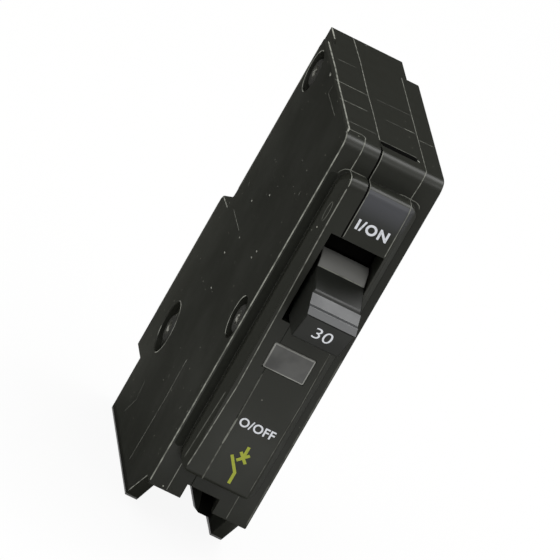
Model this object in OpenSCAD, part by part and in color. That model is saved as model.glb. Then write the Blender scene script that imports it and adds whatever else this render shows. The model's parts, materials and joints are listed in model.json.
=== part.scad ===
// Single-pole plug-on circuit breaker, built from its separate pieces.
// It stands on its load end: X across the width, -Y is the handle side, +Z towards the line end.
// Places in the case are given as x (from the left side), d (depth behind the front shoulder)
// and l (distance from the line end), all in millimetres.

/* [Case] */
// Width of the case across the pole
case_w = 19.05; // [18.9:0.05:21]
// Length from line end to load end
case_len = 78; // [77:0.25:82]
// How far the load end of the front face stands back from the legs
end_relief = 7.2; // [6.5:0.1:8]
// Depth of the flat at the end of the front face, before the leg's slope
end_flat = 3.5; // [2.5:0.1:5]
// Depth of the side cheeks at the line end
cheek_depth = 50.5; // [50:0.1:52]
// Depth of the tongue that holds the line jaw
tongue_depth = 60; // [60:0.1:63]
// Depth of the belly behind the trip unit
belly_depth = 58.2; // [57.6:0.1:59.5]
// Depth of the foot that stands on the mounting rail
foot_depth = 51.3; // [50:0.1:53]
// Where the belly's slope leaves the cheek
slope_start = 33; // [31:0.1:34]
// Where the belly reaches its full depth
belly_start = 35.8; // [35:0.1:37]
// Where the belly steps down to the foot
foot_start = 67.4; // [66.5:0.1:69]
// Thickness of a side cheek outside the tongue
cheek_t = 2.4; // [2.2:0.05:2.6]
// Wall of the moulded halves
wall = 1.6; // [1.3:0.05:1.7]
// Radius along the front edge of the line end
front_r = 2.2; // [1:0.1:3]
// Parting plane, from the left side
part_x = 6.8; // [6.4:0.05:6.9]
// Gap along the parting plane
part_gap = 0.06; // [0.02:0.01:0.2]
// Width of the vent slit in the line end
slit_w = 7.2; // [5:0.1:7.6]

/* [Front plateau] */
// Height of the plateau above the shoulder
plateau_h = 4; // [3.8:0.1:5]
// Shoulder left beside the plateau
plateau_side = 2.05; // [1.6:0.05:2.2]
// Where the plateau starts
plateau_start = 5.2; // [4.6:0.1:6]
// Where the plateau ends
plateau_end = 64.8; // [64.4:0.1:66]
// How far the crest of the plateau stands in from its foot
crest_in = 1.4; // [1:0.05:1.6]
// Straight height of the plateau's side below its slope
crest_drop = 1.7; // [1.4:0.05:2]
// Radius of the plateau's corners seen from the front
plateau_r = 2.6; // [1.5:0.1:3.2]
// Radius that rolls over the plateau's ends
crest_r = 1.8; // [0.8:0.1:2.2]

/* [Handle] */
// Handle pivot, from the line end
handle_l = 24.3; // [24:0.05:24.6]
// Handle pivot, behind the front shoulder
handle_d = 1; // [0.8:0.05:1.2]
// Handle centre, to the right of the case centre
handle_shift = 0.8; // [0.6:0.05:0.9]
// Width of the handle
handle_w = 9.1; // [8.6:0.05:9.3]
// Reach of the handle in front of the shoulder
handle_reach = 14.5; // [13:0.1:16]
// Angle of the handle from one end of its throw to the other
handle_throw = 36; // [30:1:38]
// Radius of the handle's drum
hub_r = 5.2; // [4.9:0.05:5.4]
// Radius of the trunnions
trunnion_r = 1.8; // [1.4:0.05:2]
// Length of the number face
face_len = 5.6; // [5:0.1:6]
// Drop of the number face from the tip to the heel
face_drop = 2.9; // [2:0.1:3.5]
// Length of the slot in the plateau
slot_len = 17.5; // [17.2:0.1:18]
// Slot beside the handle, left
slot_left = 0.8; // [0.4:0.05:1]
// Slot beside the handle, right
slot_right = 0.3; // [0.2:0.05:0.5]

/* [Trip window] */
// Window across the pole
window_w = 8; // [7.2:0.05:8.4]
// Window along the pole
window_len = 5; // [4.2:0.05:5.2]
// Upper edge of the window, from the line end
window_l = 36.9; // [36.7:0.05:37.4]
// Thickness of the trip flag
flag_t = 0.9; // [0.6:0.05:1]
// Travel of the trip flag
flag_travel = 6.2; // [5.5:0.1:6.4]

/* [Line jaw] */
// Width of the jaw across the pole
jaw_w = 9.2; // [8.4:0.05:9.6]
// Middle of the jaw, from the line end
jaw_l = 13; // [12.8:0.05:13.3]
// Thickness of the jaw's copper
jaw_t = 1.2; // [0.9:0.05:1.3]
// Gap that grips the bus stab
jaw_gap = 2.1; // [1.6:0.05:2.6]
// Width of the jaw's flared mouth
jaw_mouth = 5.6; // [5.2:0.05:6]

/* [Contacts] */
// Length from the arm's eye to the moving contact
arm_len = 31.5; // [30.5:0.1:32]
// Width of the contact arm
arm_w = 5.2; // [4.4:0.05:5.4]
// Thickness of the contact arm
arm_t = 1.6; // [1.2:0.05:1.8]
// Angle of the open contact arm
arm_open = 22; // [18:0.5:24]
// Angle of the closed contact arm
arm_closed = -4; // [-5:0.5:-3]
// Length from the handle's pivot to the arm's pin
fork_len = 9.5; // [9:0.1:9.8]
// Radius of the arm's pin
arm_pin_r = 1; // [0.8:0.05:1.1]
// Radius of a contact button
contact_r = 2; // [1.6:0.05:2.3]
// Thickness of a contact button
contact_t = 1; // [0.8:0.05:1.1]

/* [Trip unit] */
// Cradle pivot, from the line end
cradle_l = 41; // [40.5:0.1:41.5]
// Cradle pivot, behind the shoulder
cradle_d = 14; // [13.5:0.1:14.5]
// Thickness of the cradle
cradle_t = 1.4; // [1.1:0.05:1.5]
// Radius of the cradle's pin
cradle_pin_r = 1.5; // [1.2:0.05:1.7]
// Line side of the bimetal, from the line end
bimetal_l = 57; // [56.8:0.05:57.2]
// Thickness of the bimetal
bimetal_t = 1; // [0.7:0.05:1.1]
// Width of the bimetal
bimetal_w = 5.6; // [5:0.05:5.8]
// Length of the bimetal
bimetal_len = 29; // [28:0.1:29.6]
// Thickness of the armature and yoke plates
iron_t = 1.2; // [1:0.05:1.3]
// Air gap between armature and yoke
air_gap = 1; // [0.95:0.05:1.2]
// Wire of the springs
spring_wire = 0.45; // [0.3:0.01:0.5]
// Coil radius of the springs, at the middle of the wire
coil_r = 0.95; // [0.85:0.01:1]
// Diameter of the flexible braid
braid_dia = 2.4; // [1.8:0.1:2.6]

/* [Load terminal] */
// Wall between the trip unit and the terminal pocket, from the line end
partition_l = 61.2; // [61.1:0.05:61.6]
// Face of the terminal plate, behind the shoulder
terminal_d = 30; // [29.8:0.05:30.4]
// Thickness of the load strap and terminal plate
strap_t = 1.6; // [1.3:0.05:1.7]
// Width of the terminal plate
terminal_w = 10; // [9:0.1:10.4]
// Terminal screw, from the line end
screw_l = 71.8; // [71.4:0.05:72]
// Terminal screw, from the left side
screw_x = 8.9; // [8.6:0.05:9.2]
// Radius of the screw's thread
screw_r = 2.05; // [1.8:0.05:2.2]
// Radius of the screw's head
head_r = 3.5; // [3:0.05:3.6]
// Room for the wire under the open clamp
wire_gap = 4.5; // [4.4:0.05:5]
// Thickness of the clamp plate
clamp_t = 1.5; // [1.2:0.05:1.7]
// Width of the notch that lets the screwdriver in
notch_w = 6.2; // [5.8:0.1:6.6]
// Depth of the notch from the end of the front face
notch_len = 2.8; // [2.2:0.1:3.2]

/* [Arc chamber] */
// Number of arc plates
arc_count = 4; // [3:1:4]
// Distance from one arc plate to the next
arc_pitch = 3.2; // [2.8:0.1:3.3]
// Thickness of an arc plate
arc_t = 1; // [0.8:0.05:1.2]

/* [Rivets] */
// Radius of the rivets' shanks
rivet_r = 1.4; // [1.2:0.05:1.5]
// Radius of the rivets' heads
rivet_head_r = 2.7; // [2.4:0.05:3]
// Radius of the two smaller wells round the heads
well_r = 3.9; // [3.6:0.1:4.2]
// Radius of the larger well
big_well_r = 4.8; // [4.2:0.1:5.2]
// Depth of the wells
well_depth = 1.3; // [0.9:0.05:1.4]

/* [Clearances] */
// Radial clearance of a turning fit
run = 0.05; // [0.03:0.01:0.08]
// Space between pieces that pass each other
pass = 0.3; // [0.25:0.01:0.32]
// Space between open contacts that meet when the handle is over
touch = 0.25; // [0.22:0.01:0.4]

/* [Hidden] */

$fn = 48;
// Room that a cut reaches past a face
over = 1;
// How far joined shapes reach into each other
sink = 0.2;
// Room round a fixed piece in its seat
ease = 0.15;
mid = case_w / 2;
front_len = case_len - end_relief;
y_mid = (tongue_depth - handle_reach) / 2;

// Cavity of the mechanism
inner_left = wall;
inner_right = case_w - wall;
front_wall = 1.8;
cheek_back = cheek_depth - wall;
belly_back = belly_depth - wall;
tongue_left = cheek_t + wall - 0.1;
tongue_right = case_w - tongue_left;
tongue_back = tongue_depth - wall;
tongue_end = belly_start - 1.4;
cheek_bend_r = 1.2;
belly_bend_r = 1.5;
partition_t = 1.5;
pocket_l = partition_l + partition_t;
slit_d0 = 5.2;
slit_d1 = 6.1;
slit_deep = 0.9;

// Front plateau and its openings
crest_left = plateau_side + crest_in;
crest_right = case_w - crest_left;
roof_d = wall - plateau_h;
roof_x0 = crest_left + 0.9;
roof_x1 = crest_right - 0.4;
roof_end = 2.2;
crest_end_r = 0.8;
crest_roll_r = 1.1;
mech_x = mid + handle_shift;
handle_left = mech_x - handle_w / 2;
handle_right = mech_x + handle_w / 2;
slot_x0 = handle_left - slot_left;
slot_x1 = handle_right + slot_right;
slot_shift = 0.15;
slot_l0 = handle_l - slot_len / 2 - slot_shift;
slot_l1 = slot_l0 + slot_len;
window_x = mech_x - 0.3;
lens_proud = 0.2;
lens_flange = 0.7;
lens_lap = 0.6;
lens_fit = 0.06;
lens_x0 = window_x - window_w / 2 - lens_lap;
lens_x1 = window_x + window_w / 2 + lens_lap;
flag_d = roof_d + lens_flange + pass;
flag_floor = flag_d + flag_t + ease;
flag_rest = window_l + window_len + 1;
flag_plate = 7.6;
flag_end = flag_rest + flag_plate;
flag_stem = 1.4;
flag_lap = 0.7;
flag_x0 = window_x - window_w / 2 - flag_lap;
flag_wall = 1.1;
flag_room = 0.6;

// Handle at rest, leaning towards the load end
lean = handle_throw / 2;
fork_d = handle_d + fork_len * cos(lean);
fork_l = handle_l - fork_len * sin(lean);
fork_l_on = handle_l + fork_len * sin(lean);
boss_r = 3.3;
fork_t = 1.4;
fork_w = 4.2;
trunnion_seat = 0.6;
shield_len = 6.9;
shield_t = 1.6;
shield_turn = 59;

// Ridge and number face as they leave the tip, and the reach that its rounding takes off
tip_ridge = [4.4, -2.4];
tip_face = [face_drop, face_len];
tip_r = 0.6;
tip_half = acos(unit(tip_ridge) * unit(tip_face)) / 2;
tip_loss = tip_r * (unit(unit(tip_ridge) + unit(tip_face)).x / sin(tip_half) - 1);

// Outline of the handle beyond its drum, from the pivot
tip = [-handle_reach - handle_d - tip_loss, 2.5];
ridge = tip + tip_ridge;
heel = tip + tip_face;
HANDLE = [[0, 0], [-4.4, -2.6], [ridge.x + 0.6, ridge.y - 0.85], [ridge.x, ridge.y, 0.5],
    [tip.x, tip.y, tip_r], [heel.x, heel.y, 0.5], [-5, heel.y - 0.4], [-2.2, 4.4]];

// Contacts
contact_d = fork_d + arm_len;
contact_l = fork_l_on + arm_len * sin(arm_closed) - arm_t / 2 - 2 * contact_t - touch;
arm_x0 = mech_x - arm_w / 2;
arm_x1 = mech_x + arm_w / 2;
arm_tail = 0.3;
spring_seat = 20;
braid_seat = 22.2;

// Line jaw: its root, pinch and backing spring, behind the shoulder
jaw_d = cheek_depth - 4.5;
pinch_d = tongue_depth - 6.2;
leaf_end = tongue_depth - 5.5;
jaw_spread = 0.8;
jaw_room = 3.4;
pinch_r = 1;
leaf_t = 0.7;
leaf_reach = jaw_mouth / 2 + jaw_t + 1.2;

// Cradle, in its own layer to the right of the arm
cradle_x0 = arm_x1 + pass + 0.07;
cradle_x1 = cradle_x0 + cradle_t;
cradle_hub_r = 3;
anchor_up = 8;
anchor_deep = 7;
anchor_w = 3.6;
anchor_l = cradle_l - anchor_up;
anchor_d = cradle_d + anchor_deep;
toe_reach = 10;
toe_deep = 9;
toe_w = 2.8;
toe_l = cradle_l + toe_reach;
toe_d = cradle_d + toe_deep;
post_r = 0.8;
post_end = 0.3;
bay_room = 4.5;
spring_x = cradle_x1 + pass + coil_r + spring_wire / 2;
spring_post_end = spring_x + spring_wire / 2 + post_end;
anchor_gap = 0.1;

// Thermal and magnetic trip
strap_d = 12;
bimetal_set = 0.3;
bimetal_d = strap_d + bimetal_set;
bimetal_end = bimetal_d + bimetal_len;
yoke_set = 10;
yoke_len = 12;
yoke_d0 = strap_d + yoke_set;
yoke_d1 = yoke_d0 + yoke_len;
yoke_half = 4.6;
yoke_neck = 2;
yoke_gap = 0.2;
yoke_l = bimetal_l + bimetal_t + yoke_gap;
armature_off = 3.4;
armature_l = bimetal_l - armature_off;
yoke_tip = armature_l + iron_t + air_gap;
hinge_set = 7;
hinge_d = strap_d + hinge_set;
hinge_l = armature_l + iron_t / 2;
hinge_r = 0.6;
hinge_ear = 1.6;
armature_step = 0.8;
armature_lap = 2.4;
armature_in = 0.1;
armature_start = yoke_d0 + armature_step;
armature_end = yoke_d1 + armature_lap;
armature_half = yoke_half - armature_in;
armature_pin_in = 1;
armature_pin_d = armature_end - armature_pin_in;
armature_pin_r = 0.5;
armature_pin_len = 1.6;
armature_post_off = 6.5;
armature_post_l = armature_l - armature_post_off;

// Calibration screw and its boss
cal_l = bimetal_l + bimetal_t + strap_t / 2;
cal_r = 1.45;
cal_boss_r = 2.6;
cal_boss_d = 8;
cal_slot = 0.6;

// Load terminal
strap_half = bimetal_w / 2;
strap_tab = 5;
pocket_right = case_w - 4.75;
pocket_wall = case_w - 2.35;
terminal_x0 = screw_x - terminal_w / 2 - 0.25;
terminal_l0 = pocket_l + strap_t + 1;
terminal_tail = 3.8;
terminal_l1 = screw_l + terminal_tail;
shelf_d = terminal_d + strap_t + ease;
shelf_t = 1.6;
clamp_d = terminal_d - wire_gap - clamp_t;
head_t = 2.6;
head_d = clamp_d - pass / 6 - head_t;
screw_tip = terminal_d + 5.5;
collar_r = screw_r + 1.3;
collar_t = 1.3;
notch_x = mid - 0.2;
rear_d = shelf_d + shelf_t;
clamp_half = terminal_w / 2 - 0.5;
clamp_reach = head_r + 0.3;
clamp_step = 1.4;
clamp_groove = 0.4;
drive_w = 1;
drive_d = 1.3;

// Thick wall on the right of the terminal pocket's mouth
lump_d0 = 16;
lump_d1 = 21;
lump_l = case_len - 3.4;
lump_lip = 1;

// Arc chamber
arc_l = contact_l + 5;
arc_d0 = jaw_d;
arc_d1 = tongue_back - 3.4;
arc_notch_w = 4.4;
arc_notch_d = 2.6;
board_t = 0.6;
board_lap = 1;
barrier_d = contact_d + 6.6;
barrier_t = 1.2;

// Rivet places and wells as [d, l, well radius]
well_rim = 0.4;
rivet_boss = 0.8;
rivet_sunk = 0.3;
rivet_shank_sunk = 0.5;
rivet_bore_r = rivet_r - 0.4;
RIVETS = [[cheek_depth - 5.2, well_r + well_rim + 0.4, well_r],
    [cheek_depth - 5.5, bimetal_l + 1, big_well_r],
    [well_r + well_rim + 0.3, window_l + 1.7, well_r]];

// Route of the braid from the contact arm to the bimetal, as [d, l]
function arm_point(along, off) = [fork_d + along * cos(arm_open) - off * sin(arm_open),
    fork_l + along * sin(arm_open) + off * cos(arm_open)];
BRAID = [arm_point(braid_seat, arm_t / 2 + pass), arm_point(braid_seat, arm_t / 2 + 2.6),
    [31.5, 39], [36.5, 45], [39.6, 49.8], [39.6, bimetal_l - 3.6], [38.6, bimetal_l - 1.8],
    [38.5, bimetal_l - 0.1]];

// Places in the model's own frame
function px(x) = x - mid;
function py(d) = d - y_mid;
function pz(l) = case_len - l;
function at(x, d, l) = [px(x), py(d), pz(l)];
function unit(v) = v / norm(v);

// A corner p rounded to radius r between its neighbours a and b
function corner(a, p, b, r, n = 6) =
    let (u = unit(a - p), v = unit(b - p), h = acos(u * v) / 2)
    let (c = p + unit(u + v) * r / sin(h), s = p + u * r / tan(h) - c, e = p + v * r / tan(h) - c)
    let (t = atan2(s.y, s.x), turn = (atan2(e.y, e.x) - t + 540) % 360 - 180)
    [for (i = [0:n]) c + r * [cos(t + turn * i / n), sin(t + turn * i / n)]];

// An outline of [d, l] or [d, l, corner radius]
function outline(list) = let (n = len(list)) [for (i = [0:n - 1])
    let (q = list[i], p = [q[0], q[1]], a = list[(i + n - 1) % n], b = list[(i + 1) % n])
    each (len(q) == 2 ? [p] : corner([a[0], a[1]], p, [b[0], b[1]], q[2]))];

// A profile in depth and length, carried across the width
module slab(x0, x1, list) {
    translate([px(x0), 0, 0]) rotate([90, 0, 90]) linear_extrude(x1 - x0)
        polygon([for (q = outline(list)) [py(q[0]), pz(q[1])]]);
}

// A block between two corners
module block(x0, x1, d0, d1, l0, l1) {
    translate(at(x0, d0, l1)) cube([x1 - x0, d1 - d0, l1 - l0]);
}

// A round peg across the width
module peg(x0, x1, d, l, r) {
    translate(at(x0, d, l)) rotate([0, 90, 0]) cylinder(h = x1 - x0, r = r);
}

// A round post along the depth
module post(x, d0, d1, l, r) {
    translate(at(x, d0, l)) rotate([-90, 0, 0]) cylinder(h = d1 - d0, r = r);
}

// A bar of width w from one [d, l] place to another, with a round far end
module link(x0, x1, a, b, w) {
    n = unit([a.y - b.y, b.x - a.x]) * w / 2;
    slab(x0, x1, [a + n, b + n, b - n, a - n]);
    peg(x0, x1, b.x, b.y, w / 2);
}

// A smooth curve through hand-set points
function curve(p, steps = 3) = let (n = len(p) - 1)
    [for (i = [0:n - 1], k = [0:steps - (i == n - 1 ? 0 : 1)])
        let (t = k / steps, a = p[max(i - 1, 0)], b = p[i], c = p[i + 1], e = p[min(i + 2, n)])
        0.5 * (2 * b + (c - a) * t + (2 * a - 5 * b + 4 * c - e) * t ^ 2
            + (3 * b - a - 3 * c + e) * t ^ 3)];

// A tube of radius r along a list of points, its sides carried along without twisting
module tube(p, r, sides = 6) {
    n = len(p);
    t = [for (i = [0:n - 1]) unit(p[min(i + 1, n - 1)] - p[max(i - 1, 0)])];
    first = abs(t[0].x) < 0.9 ? [1, 0, 0] : [0, 1, 0];
    side = [for (i = 0, v = unit(first - (first * t[0]) * t[0]); i < n;
        i = i + 1, v = i < n ? unit(v - (v * t[i]) * t[i]) : v) v];
    ring = [for (i = [0:n - 1], k = [0:sides - 1])
        p[i] + r * (cos(360 * k / sides) * side[i] + sin(360 * k / sides) * cross(t[i], side[i]))];
    walls = [for (i = [0:n - 2], k = [0:sides - 1])
        let (a = i * sides + k, b = i * sides + (k + 1) % sides)
        each [[a, a + sides, b + sides], [a, b + sides, b]]];
    ends = [for (k = [1:sides - 2])
        each [[0, k, k + 1], [(n - 1) * sides, (n - 1) * sides + k + 1, (n - 1) * sides + k]]];
    polyhedron(ring, concat(walls, ends));
}

// Path of an extension spring that hooks round two pins, as points in space
function spring_path(a, b, turns, hook_a, hook_b) =
    let (e = unit(b - a), v = cross([1, 0, 0], e), s0 = hook_a + 0.75, s1 = norm(b - a) - hook_b - 0.75)
    concat([for (t = [150:30:330]) a + hook_a * (cos(t) * e + sin(t) * v)],
        [for (i = [0:8 * turns]) a + e * (s0 + (s1 - s0) * i / (8 * turns))
            + coil_r * (sin(45 * i) * [1, 0, 0] - cos(45 * i) * v)],
        [for (t = [210:30:390]) b + hook_b * (cos(t) * e + sin(t) * v)]);

// Least space between parts of a wound wire that lie more than half a turn apart
function least_gap(p, wire) = min([for (i = [0:len(p) - 6], j = [i + 5:len(p) - 1])
    norm(p[i] - p[j])]) - wire;

// Outline of the side cheeks
cheek = [[0, 0, front_r], [cheek_depth, 0], [cheek_depth, slope_start, cheek_bend_r],
    [belly_depth, belly_start, belly_bend_r], [belly_depth, foot_start], [foot_depth, foot_start],
    [foot_depth, case_len],
    [end_flat + end_relief, case_len], [end_flat, front_len], [0, front_len]];

// Outline of the middle, with the tongue that holds the jaw
middle = [[0, 0, front_r], [tongue_depth, 0], [tongue_depth, tongue_end], [belly_depth, tongue_end],
    [belly_depth, foot_start], [foot_depth, foot_start], [foot_depth, case_len],
    [end_flat + end_relief, case_len], [end_flat, front_len], [0, front_len]];

// Plateau: its side, its cross-section and its plan, cut out of each other
module plateau() {
    intersection() {
        slab(plateau_side, case_w - plateau_side, [[over, plateau_start],
            [-plateau_h, plateau_start, crest_r], [-plateau_h, plateau_end, crest_end_r],
            [over, plateau_end]]);
        translate([0, 0, pz(plateau_end)]) linear_extrude(plateau_end - plateau_start)
            polygon([for (q = outline([[plateau_side, over], [plateau_side, -crest_drop],
                [crest_left, -plateau_h], [crest_right, -plateau_h, crest_roll_r],
                [case_w - plateau_side, -crest_drop], [case_w - plateau_side, over]])) [px(q[0]), py(q[1])]]);
        translate([0, py(-plateau_h), 0]) rotate([-90, 0, 0]) linear_extrude(plateau_h + over)
            polygon([for (q = outline([[plateau_side, plateau_start, plateau_r],
                [case_w - plateau_side, plateau_start, plateau_r],
                [case_w - plateau_side, plateau_end, plateau_r], [plateau_side, plateau_end, plateau_r]]))
                [px(q[0]), -pz(q[1])]]);
    }
}

// Everything that is open inside the case
module case_hollow() {
    slab(inner_left, inner_right, [[front_wall, wall], [cheek_back, wall], [cheek_back, slope_start + 1.4],
        [belly_back, belly_start + wall], [belly_back, partition_l], [front_wall, partition_l]]);
    slab(tongue_left, tongue_right, [[cheek_back - over, wall], [tongue_back, wall],
        [tongue_back, tongue_end - wall], [belly_back, tongue_end - wall], [belly_back, partition_l],
        [cheek_back - over, partition_l]]);
    // Space under the plateau's two ends
    block(roof_x0, roof_x1, roof_d, front_wall + over, plateau_start + roof_end, slot_l0 - wall);
    block(roof_x0, roof_x1, roof_d, front_wall + over, flag_end + roof_end, plateau_end - roof_end);
    // Handle slot, trip window, flag chamber and the way for the flag's stem
    block(slot_x0, slot_x1, -plateau_h - over, front_wall + over, slot_l0, slot_l1);
    block(window_x - window_w / 2, window_x + window_w / 2, -plateau_h - over, roof_d + over / 2,
        window_l, window_l + window_len);
    block(flag_x0 - pass, max(lens_x1, cradle_x1) + pass, roof_d, flag_floor, window_l - flag_wall,
        flag_end + flag_room);
    block(cradle_x0 - pass, cradle_x1 + pass, flag_floor - over, front_wall + over,
        flag_end - flag_stem - flag_travel - flag_room, flag_end + flag_room);
    // Bay in the right wall for the toggle spring and its posts
    block(cradle_x1, spring_x + coil_r + spring_wire / 2 + pass, anchor_d - bay_room,
        fork_d + spring_seat + bay_room, anchor_l - 2 * bay_room, anchor_l + bay_room);
    // Terminal pocket, open at the load end and through the notch
    slab(cheek_t, pocket_wall, [[front_wall, pocket_l], [shelf_d, pocket_l], [shelf_d, case_len + over],
        [front_wall, case_len + over]]);
    block(notch_x - notch_w / 2, notch_x + notch_w / 2, -over, front_wall + over, front_len - notch_len,
        case_len);
    block(mech_x - strap_half - ease, mech_x + strap_half + ease, strap_d - ease, strap_d + strap_t + ease,
        partition_l - over, pocket_l + over);
    // Space behind the terminal shelf
    slab(inner_left, inner_right, [[rear_d, pocket_l], [belly_back, pocket_l],
        [belly_back, foot_start - wall], [foot_depth - wall, foot_start - wall],
        [foot_depth - wall, case_len - wall], [rear_d, case_len - wall]]);
    post(screw_x, shelf_d - over, rear_d + over, screw_l, collar_r + pass);
    // Mouth of the line jaw and the vent slit
    block(mid - jaw_w / 2 - pass, mid + jaw_w / 2 + pass, tongue_back - over, tongue_depth + over,
        jaw_l - jaw_mouth / 2 - jaw_room, jaw_l + jaw_mouth / 2 + jaw_room);
    block(part_x + sink, part_x + sink + slit_w, slit_d0, slit_d1, -over, slit_deep);
    for (q = RIVETS) {
        peg(-over, well_depth, q.x, q.y, q.z);
        peg(case_w - well_depth, case_w + over, q.x, q.y, q.z);
    }
}

// What stands inside the case: bosses, barrier and the thick wall beside the terminal
module case_inside() {
    for (q = RIVETS) {
        peg(well_depth, case_w - well_depth, q.x, q.y, rivet_r + rivet_boss);
        peg(well_depth, well_depth + wall, q.x, q.y, q.z + well_rim);
        peg(case_w - well_depth - wall, case_w - well_depth, q.x, q.y, q.z + well_rim);
    }
    peg(wall - sink, slot_x0 - sink, handle_d, handle_l, boss_r);
    peg(slot_x1 + sink, case_w - wall + sink, handle_d, handle_l, boss_r);
    peg(cradle_x1 + pass, case_w - wall + sink, cradle_d, cradle_l, cradle_hub_r);
    peg(wall - sink, mech_x - armature_half, armature_pin_d, armature_post_l, armature_pin_r);
    block(tongue_left - sink, tongue_right + sink, barrier_d, tongue_back + sink, contact_l + pass,
        contact_l + pass + barrier_t);
    slab(pocket_right, pocket_wall + sink, [[lump_d0, case_len - lump_lip], [lump_d1, lump_l],
        [shelf_d + sink, lump_l], [shelf_d + sink, case_len], [lump_d1, case_len]]);
    post(mech_x, front_wall - sink, cal_boss_d, cal_l, cal_boss_r);
}

// Round ways through the case's own bosses
module case_bores() {
    for (q = RIVETS) peg(-over, case_w + over, q.x, q.y, rivet_r + run);
    peg(wall + trunnion_seat, case_w - wall - trunnion_seat, handle_d, handle_l, trunnion_r + run);
    peg(cradle_x0, case_w - wall - trunnion_seat, cradle_d, cradle_l, cradle_pin_r);
    post(mech_x, front_wall + sink, cal_boss_d + over, cal_l, cal_r + run);
}

// Outside of the case, without its openings
module case_outer() {
    slab(0, cheek_t, cheek);
    slab(cheek_t, case_w - cheek_t, middle);
    slab(case_w - cheek_t, case_w, cheek);
    plateau();
}

// The whole moulded case before it is parted
module case_shell() {
    difference() {
        union() {
            difference() {
                case_outer();
                case_hollow();
            }
            intersection() {
                case_inside();
                case_outer();
            }
        }
        case_bores();
    }
}

module left_cover() {
    color("#2a2b27") intersection() {
        case_shell();
        block(-over, part_x - part_gap / 2, -plateau_h - over, tongue_depth + over, -over, case_len + over);
    }
}

module right_base() {
    color("#2c2d29") intersection() {
        case_shell();
        block(part_x + part_gap / 2, case_w + over, -plateau_h - over, tongue_depth + over, -over,
            case_len + over);
    }
}

module case_rivets() {
    color("#3a3a38") for (q = RIVETS) difference() {
        union() {
            peg(rivet_shank_sunk, case_w - rivet_shank_sunk, q.x, q.y, rivet_r);
            peg(rivet_sunk, well_depth, q.x, q.y, rivet_head_r);
            peg(case_w - well_depth, case_w - rivet_sunk, q.x, q.y, rivet_head_r);
        }
        peg(-over, well_depth, q.x, q.y, rivet_bore_r);
        peg(case_w - well_depth, case_w + over, q.x, q.y, rivet_bore_r);
    }
}

module handle() {
    color("#2b2c2a") difference() {
        union() {
            peg(handle_left, handle_right, handle_d, handle_l, hub_r);
            translate([0, handle_d, -handle_l]) slab(handle_left, handle_right, HANDLE);
            peg(wall + trunnion_seat + ease, case_w - wall - trunnion_seat - ease, handle_d, handle_l,
                trunnion_r);
            for (x = [handle_left, handle_right - fork_t])
                link(x, x + fork_t, [handle_d, handle_l], [fork_d, fork_l], fork_w);
            for (turn = [-shield_turn - lean, shield_turn - lean])
                link(handle_left, handle_right, [handle_d, handle_l],
                    [handle_d + shield_len * cos(turn), handle_l + shield_len * sin(turn)], shield_t);
        }
        peg(handle_left - over, handle_right + over, fork_d, fork_l, arm_pin_r);
    }
}

module arm_pin() {
    color("#b9bab8") peg(handle_left + sink, handle_right - sink, fork_d, fork_l, arm_pin_r);
}

module window_lens() {
    color("#6a6a68") {
        block(window_x - window_w / 2 + lens_fit, window_x + window_w / 2 - lens_fit, -plateau_h - lens_proud,
            roof_d, window_l + lens_fit, window_l + window_len - lens_fit);
        block(lens_x0, lens_x1, roof_d, roof_d + lens_flange, window_l - lens_lap,
            window_l + window_len + lens_lap);
    }
}

module trip_flag() {
    color("#c4301f") {
        block(flag_x0, cradle_x1, flag_d, flag_d + flag_t, flag_rest, flag_end);
        block(cradle_x0, cradle_x1, flag_d, cradle_d - cradle_hub_r - 3.5, flag_end - flag_stem, flag_end);
    }
}

// One lip of the jaw, on the line side (-1) or the load side (1)
module jaw_lip(side) {
    root = jaw_mouth / 2 + jaw_spread;
    lip = [[jaw_d, root + jaw_t], [jaw_d, root], [pinch_d, jaw_gap / 2, pinch_r],
        [tongue_back - 0.6, jaw_mouth / 2], [tongue_back - 0.9, jaw_mouth / 2 + jaw_t],
        [pinch_d, jaw_gap / 2 + jaw_t, pinch_r]];
    slab(mid - jaw_w / 2, mid + jaw_w / 2,
        [for (q = lip) [for (k = [0:len(q) - 1]) k == 1 ? jaw_l + side * q[1] : q[k]]]);
}

module line_jaw() {
    strap_back = jaw_d + strap_t;
    root = jaw_mouth / 2 + jaw_spread + jaw_t;
    color("#b5764a") {
        for (side = [-1, 1]) jaw_lip(side);
        block(mid - jaw_w / 2, mid + jaw_w / 2, jaw_d, strap_back, jaw_l - root, jaw_l + root);
        block(arm_x0, arm_x1, jaw_d, strap_back, jaw_l, contact_l);
        block(arm_x0, arm_x1, contact_d - contact_r - 0.6, strap_back, contact_l - strap_t, contact_l);
    }
}

module jaw_spring() {
    back = jaw_d - ease;
    near = jaw_l - leaf_reach;
    far = jaw_l + leaf_reach;
    color("#8f9294") {
        block(mid - jaw_w / 2, mid + jaw_w / 2, back - leaf_t, back, near - leaf_t, far + leaf_t);
        block(mid - jaw_w / 2, mid + jaw_w / 2, back - leaf_t, leaf_end, near - leaf_t, near);
        block(mid - jaw_w / 2, arm_x0 - ease, back - leaf_t, leaf_end, far, far + leaf_t);
        block(arm_x1 + ease, mid + jaw_w / 2, back - leaf_t, leaf_end, far, far + leaf_t);
    }
}

module stationary_contact() {
    color("#cfd0cc") translate(at(mech_x, contact_d, contact_l + contact_t))
        cylinder(h = contact_t, r = contact_r);
}

// Puts a shape that lies along the depth on to the open contact arm
module on_arm() {
    translate(at(0, fork_d, fork_l)) rotate([-arm_open, 0, 0]) children();
}

module contact_arm() {
    color("#b0723f") on_arm() difference() {
        union() {
            translate([arm_x0, 0, 0]) rotate([0, 90, 0]) cylinder(h = arm_w, r = arm_pin_r + 1);
            translate([arm_x0, 0, -arm_t / 2]) cube([arm_w, arm_len + contact_r + arm_tail, arm_t]);
            translate([arm_x1 - post_r, spring_seat, 0]) rotate([0, 90, 0])
                cylinder(h = spring_post_end - arm_x1 + post_r, r = post_r);
        }
        translate([arm_x0 - over, 0, 0]) rotate([0, 90, 0])
            cylinder(h = arm_w + 2 * over, r = arm_pin_r + run);
    }
}

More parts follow.
